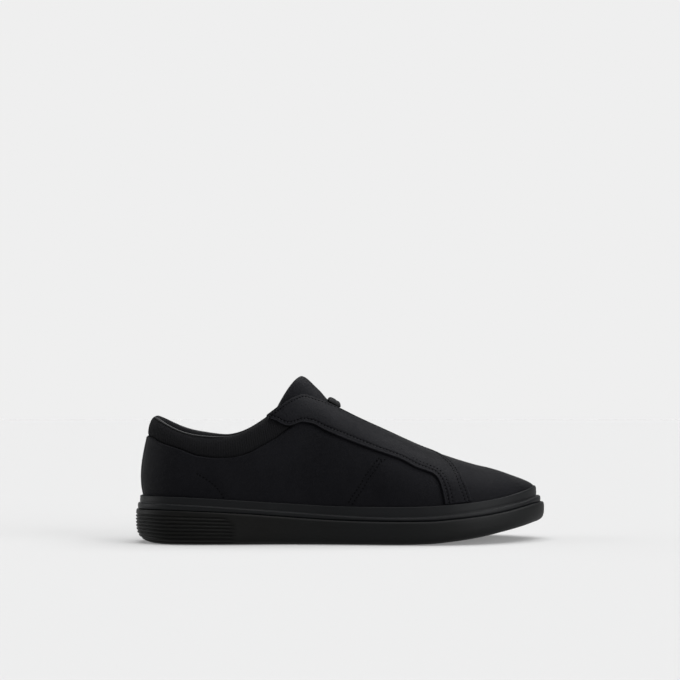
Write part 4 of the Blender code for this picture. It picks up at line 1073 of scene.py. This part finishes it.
rings = [sole_ring(OUTSOLE_WALL + GAP, "groove", lift=lift) for lift in (-3.0, GAP)]
rings += [sole_ring(band_inset + 1.2, "groove", lift=GAP)]
rings += [ring + [0, 0, GAP] for ring in rounded_edge(band_inset, "groove", 0.7, below=False)]
rings += band(band_inset, ("groove", "step"), BAND_BULGE, 0.2, 0.6, (0.25, 0.5, 0.75))
rings += rounded_edge(band_inset, "step", 0.75, toe_radius=1.6)
for out, lift in ((0.5, -0.05), (0.1, 0.15)):
    rings.append(sole_ring(foot_inset - out, "step", lift=lift))
rings += band(foot_inset, ("step", "rim"), RIM_BULGE, 0.12, 0.4, (0, 0.3, 0.6, 1))
rings += rounded_edge(foot_inset, "rim", 0.55, toe_radius=2.8)
inner_rings = (-0.2, 0.08), (0, 0.5), (0, CUP_DEPTH - 0.5), (0.5, CUP_DEPTH), (9, CUP_DEPTH)
for inward, drop in inner_rings:
    rings.append(sole_ring(foot_inset + CUP_WALL + inward, "rim", lift=-drop))
make_piece("foam_midsole", rings, tube(rings), "midsole_foam", ["midsole"])

# %% [markdown]
# The rubber is a little less blue than the foam. Eight fine grooves are moulded round its heel and
# fade out along the side. Underneath, straight bars are cut across the heel and the ball.

# %% The outsole
SIDEWALL = np.array((
    (0.00, 8.5), (0.05, 5.2), (0.13, 2.6), (0.26, 1.0), (0.50, 0.15), (0.74, 0.0),
    (0.93, 0.3), (1.00, 1.0),
))
sidewall = curve(*SIDEWALL.T)
RIB_COUNT, RIB_PITCH, RIB_DEPTH, RIB_TOP_DROP = 8, 2.25, 0.8, 3.6
RIB_END, RIB_FADE, RIB_FIELD_DEPTH = 66.5, 2.2, 0.25
heel_bottom, heel_groove = sole_height("bottom", 0.0), sole_height("groove", 0.0)
rib_levels = (heel_groove - RIB_TOP_DROP - RIB_PITCH * np.arange(RIB_COUNT) - heel_bottom)
rib_levels = rib_levels / (heel_groove - heel_bottom)
rib_width = 0.17 * RIB_PITCH / (heel_groove - heel_bottom)
levels = np.unique(np.concatenate([
    np.linspace(0, 0.1, 8), np.linspace(0.1, 0.96, 96), np.linspace(0.96, 1, 6),
]))
rings = []
for level in levels:
    groove = bell(level - rib_levels, rib_width).sum()
    end = RIB_END + 4.5 - 9.0 * ease(0.62, 1.0, level)
    fade = ease(end, end - RIB_FADE, outline[:, 0])
    field = RIB_FIELD_DEPTH * ease(end + 0.6, end - 0.6, outline[:, 0])
    field *= ease(0.06, 0.12, level) * ease(0.97, 0.93, level)
    depth = 1.15 * RIB_DEPTH * groove * fade
    rings.append(sole_ring(sidewall(level) + depth + field, "bottom", "groove", level))
rings.append(sole_ring(OUTSOLE_WALL, "groove"))
rings.append(sole_ring(OUTSOLE_WALL, "groove", lift=-4.0))
make_piece("rubber_outsole", rings, tube(rings), "outsole_rubber", ["outsole"])

TREAD_DEPTH, TREAD_WIDTH, TREAD_PITCH, TREAD_MARGIN = 1.6, 3.2, 9.0, 11.0
ACROSS = 41


def across_ring(ring, share):
    """Points from the lateral to the medial half of a ring, and how far apart the halves are."""
    half = len(ring) // 2 + 1
    lateral, medial = ring[:half], np.roll(ring[::-1], 1, axis=0)[:half]
    points = lateral[:, None] * (1 - share[:, None]) + medial[:, None] * share[:, None]
    return points, np.linalg.norm(medial - lateral, axis=1)[:, None]


share = np.linspace(0, 1, ACROSS)
bottom, width = across_ring(inset(sidewall(0.0)), share)
x = bottom[..., 0]
margin = TREAD_MARGIN - sidewall(0.0)
clear = margin - 0.8, margin + 0.8
inner = ease(*clear, width * share) * ease(*clear, width * (1 - share))
cut = np.zeros_like(x)
for first, end in ((26.0, 84.0), (128.0, 212.0)):
    for bar in first + TREAD_PITCH * np.arange(int((end - first) / TREAD_PITCH) + 1):
        cut += ease(TREAD_WIDTH / 2 + 0.3, TREAD_WIDTH / 2 - 0.3, np.abs(x - bar))
bottom[..., 2] = sole_height("bottom", x) + TREAD_DEPTH * cut * inner
make_piece("rubber_tread", bottom, [quads(len(bottom), ACROSS)], "outsole_rubber")

# %% [markdown]
# The sock lining lies on the cup's floor. Its edge turns up a little and its face is slightly
# dished, as a foot bed is. Only a strip of it can be seen, through the mouth of the shoe.

# %% The insole
INSOLE_THICKNESS, EDGE_LIFT, EDGE_ROUNDING = 4.0, 1.5, 0.8
border = inset(upper_inset + UPPER_WALL + 2 * GAP)
share = 0.5 - 0.5 * np.cos(np.pi * np.linspace(0, 1, ACROSS))
bed, width = (part[4:-4:2] for part in across_ring(border, share))
from_edge = width * np.minimum(share, 1 - share)
under, over = bed.copy(), bed.copy()
under[..., 2] = cup_floor(bed[..., 0]) + GAP
edge_shape = EDGE_LIFT * bell(from_edge, 2.6) - EDGE_ROUNDING * bell(from_edge, 0.5)
over[..., 2] = under[..., 2] + INSOLE_THICKNESS + edge_shape
points, faces = skin(over, under)
make_piece("sock_lining", points, faces, "lining_fabric", ["insole"])

# %% [markdown]
# ## Studio
# A catalogue picture of a black shoe: pale paper under and behind it, and one very broad soft light
# overhead that leans towards the toe, so that whatever faces up shines softly and the sides stay
# deep black. A second light comes low from the toe's outer side and a weak one from the heel. The
# floor glows a little itself, which lightens its shadow, and the backdrop neither blocks nor
# bounces light. The camera stands far off at a low height, turned a few degrees towards the heel.

# %% Floor, light and camera
def paper(name, tint, glow):
    """Matt paper of a grey tint that glows a little itself."""
    made, shader = new_material(name)
    with_sockets(shader, Base_Color=(tint, tint, tint, 1), Roughness=0.9, Specular_IOR_Level=0,
                 Emission_Color=(1, 1, 1, 1), Emission_Strength=glow)
    return made


def stage_sheet(name, corners, finish):
    mesh = bpy.data.meshes.new(name)
    mesh.from_pydata(corners, [], [(0, 1, 2, 3)])
    mesh.materials.append(finish)
    made = add_object(name, mesh)
    made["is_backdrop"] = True
    return made


def soft_sun(name, direction, power, spread):
    lamp = bpy.data.lights.new(name, "SUN")
    lamp.energy, lamp.angle = power, math.radians(spread)
    turn = Vector(direction).to_track_quat("Z", "Y")
    add_object(name, lamp).rotation_euler = turn.to_euler()


PAPER_LEVEL = 0.863
FLOOR_TINT, FLOOR_GLOW = 0.347, 0.208
FAR, TALL = 40, 14
stage_sheet("studio_floor", [(-FAR, -FAR, 0), (FAR, -FAR, 0), (FAR, FAR, 0), (-FAR, FAR, 0)],
            paper("floor_paper", FLOOR_TINT, FLOOR_GLOW))
backdrop = stage_sheet("studio_backdrop",
                       [(-FAR, FAR, 0), (FAR, FAR, 0), (FAR, FAR, TALL), (-FAR, FAR, TALL)],
                       paper("backdrop_paper", 0, PAPER_LEVEL))
backdrop.visible_shadow = backdrop.visible_diffuse = False
soft_sun("overhead", (0.20, 0.04, 1.0), 4.6, 75)
soft_sun("toe_side", (1.0, -0.80, 0.32), 2.7, 45)
soft_sun("heel_side", (-1.0, 0.15, 0.30), 1.3, 40)
world = bpy.context.scene.world or bpy.data.worlds.new("studio")
bpy.context.scene.world = world
world.use_nodes = True
with_sockets(world.node_tree.nodes["Background"], Color=(0.95, 0.97, 1, 1), Strength=0.10)
bpy.context.scene.view_settings.view_transform = "Standard"

CAMERA_TURN = math.radians(4.5)
CAMERA_TILT = math.radians(2.9)
CAMERA_DISTANCE, CAMERA_HEIGHT = 1.1, 0.09
PICTURE_WIDTH, FOCAL_LENGTH, SIDE_SHIFT = 680, 1506, -3.1
lens = bpy.data.cameras.new("catalogue_camera")
lens.lens = 36 * FOCAL_LENGTH / PICTURE_WIDTH
lens.shift_x = SIDE_SHIFT / PICTURE_WIDTH
camera = add_object("catalogue_camera", lens)
camera.location = (-CAMERA_DISTANCE * math.sin(CAMERA_TURN),
                   -CAMERA_DISTANCE * math.cos(CAMERA_TURN), CAMERA_HEIGHT)
camera.rotation_euler = (math.radians(90) + CAMERA_TILT, 0, -CAMERA_TURN)
bpy.context.scene.camera = camera

# %% [markdown]
# ## Size and finish
# The detailed model is meant to stay the size of the plain one. Both boxes are printed side by
# side.

shown_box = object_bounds()
for name, (low, high) in (("frame", frame_box), ("shown", shown_box)):
    print(name, [round(1000 * (h - l), 1) for l, h in zip(low, high)], "mm")
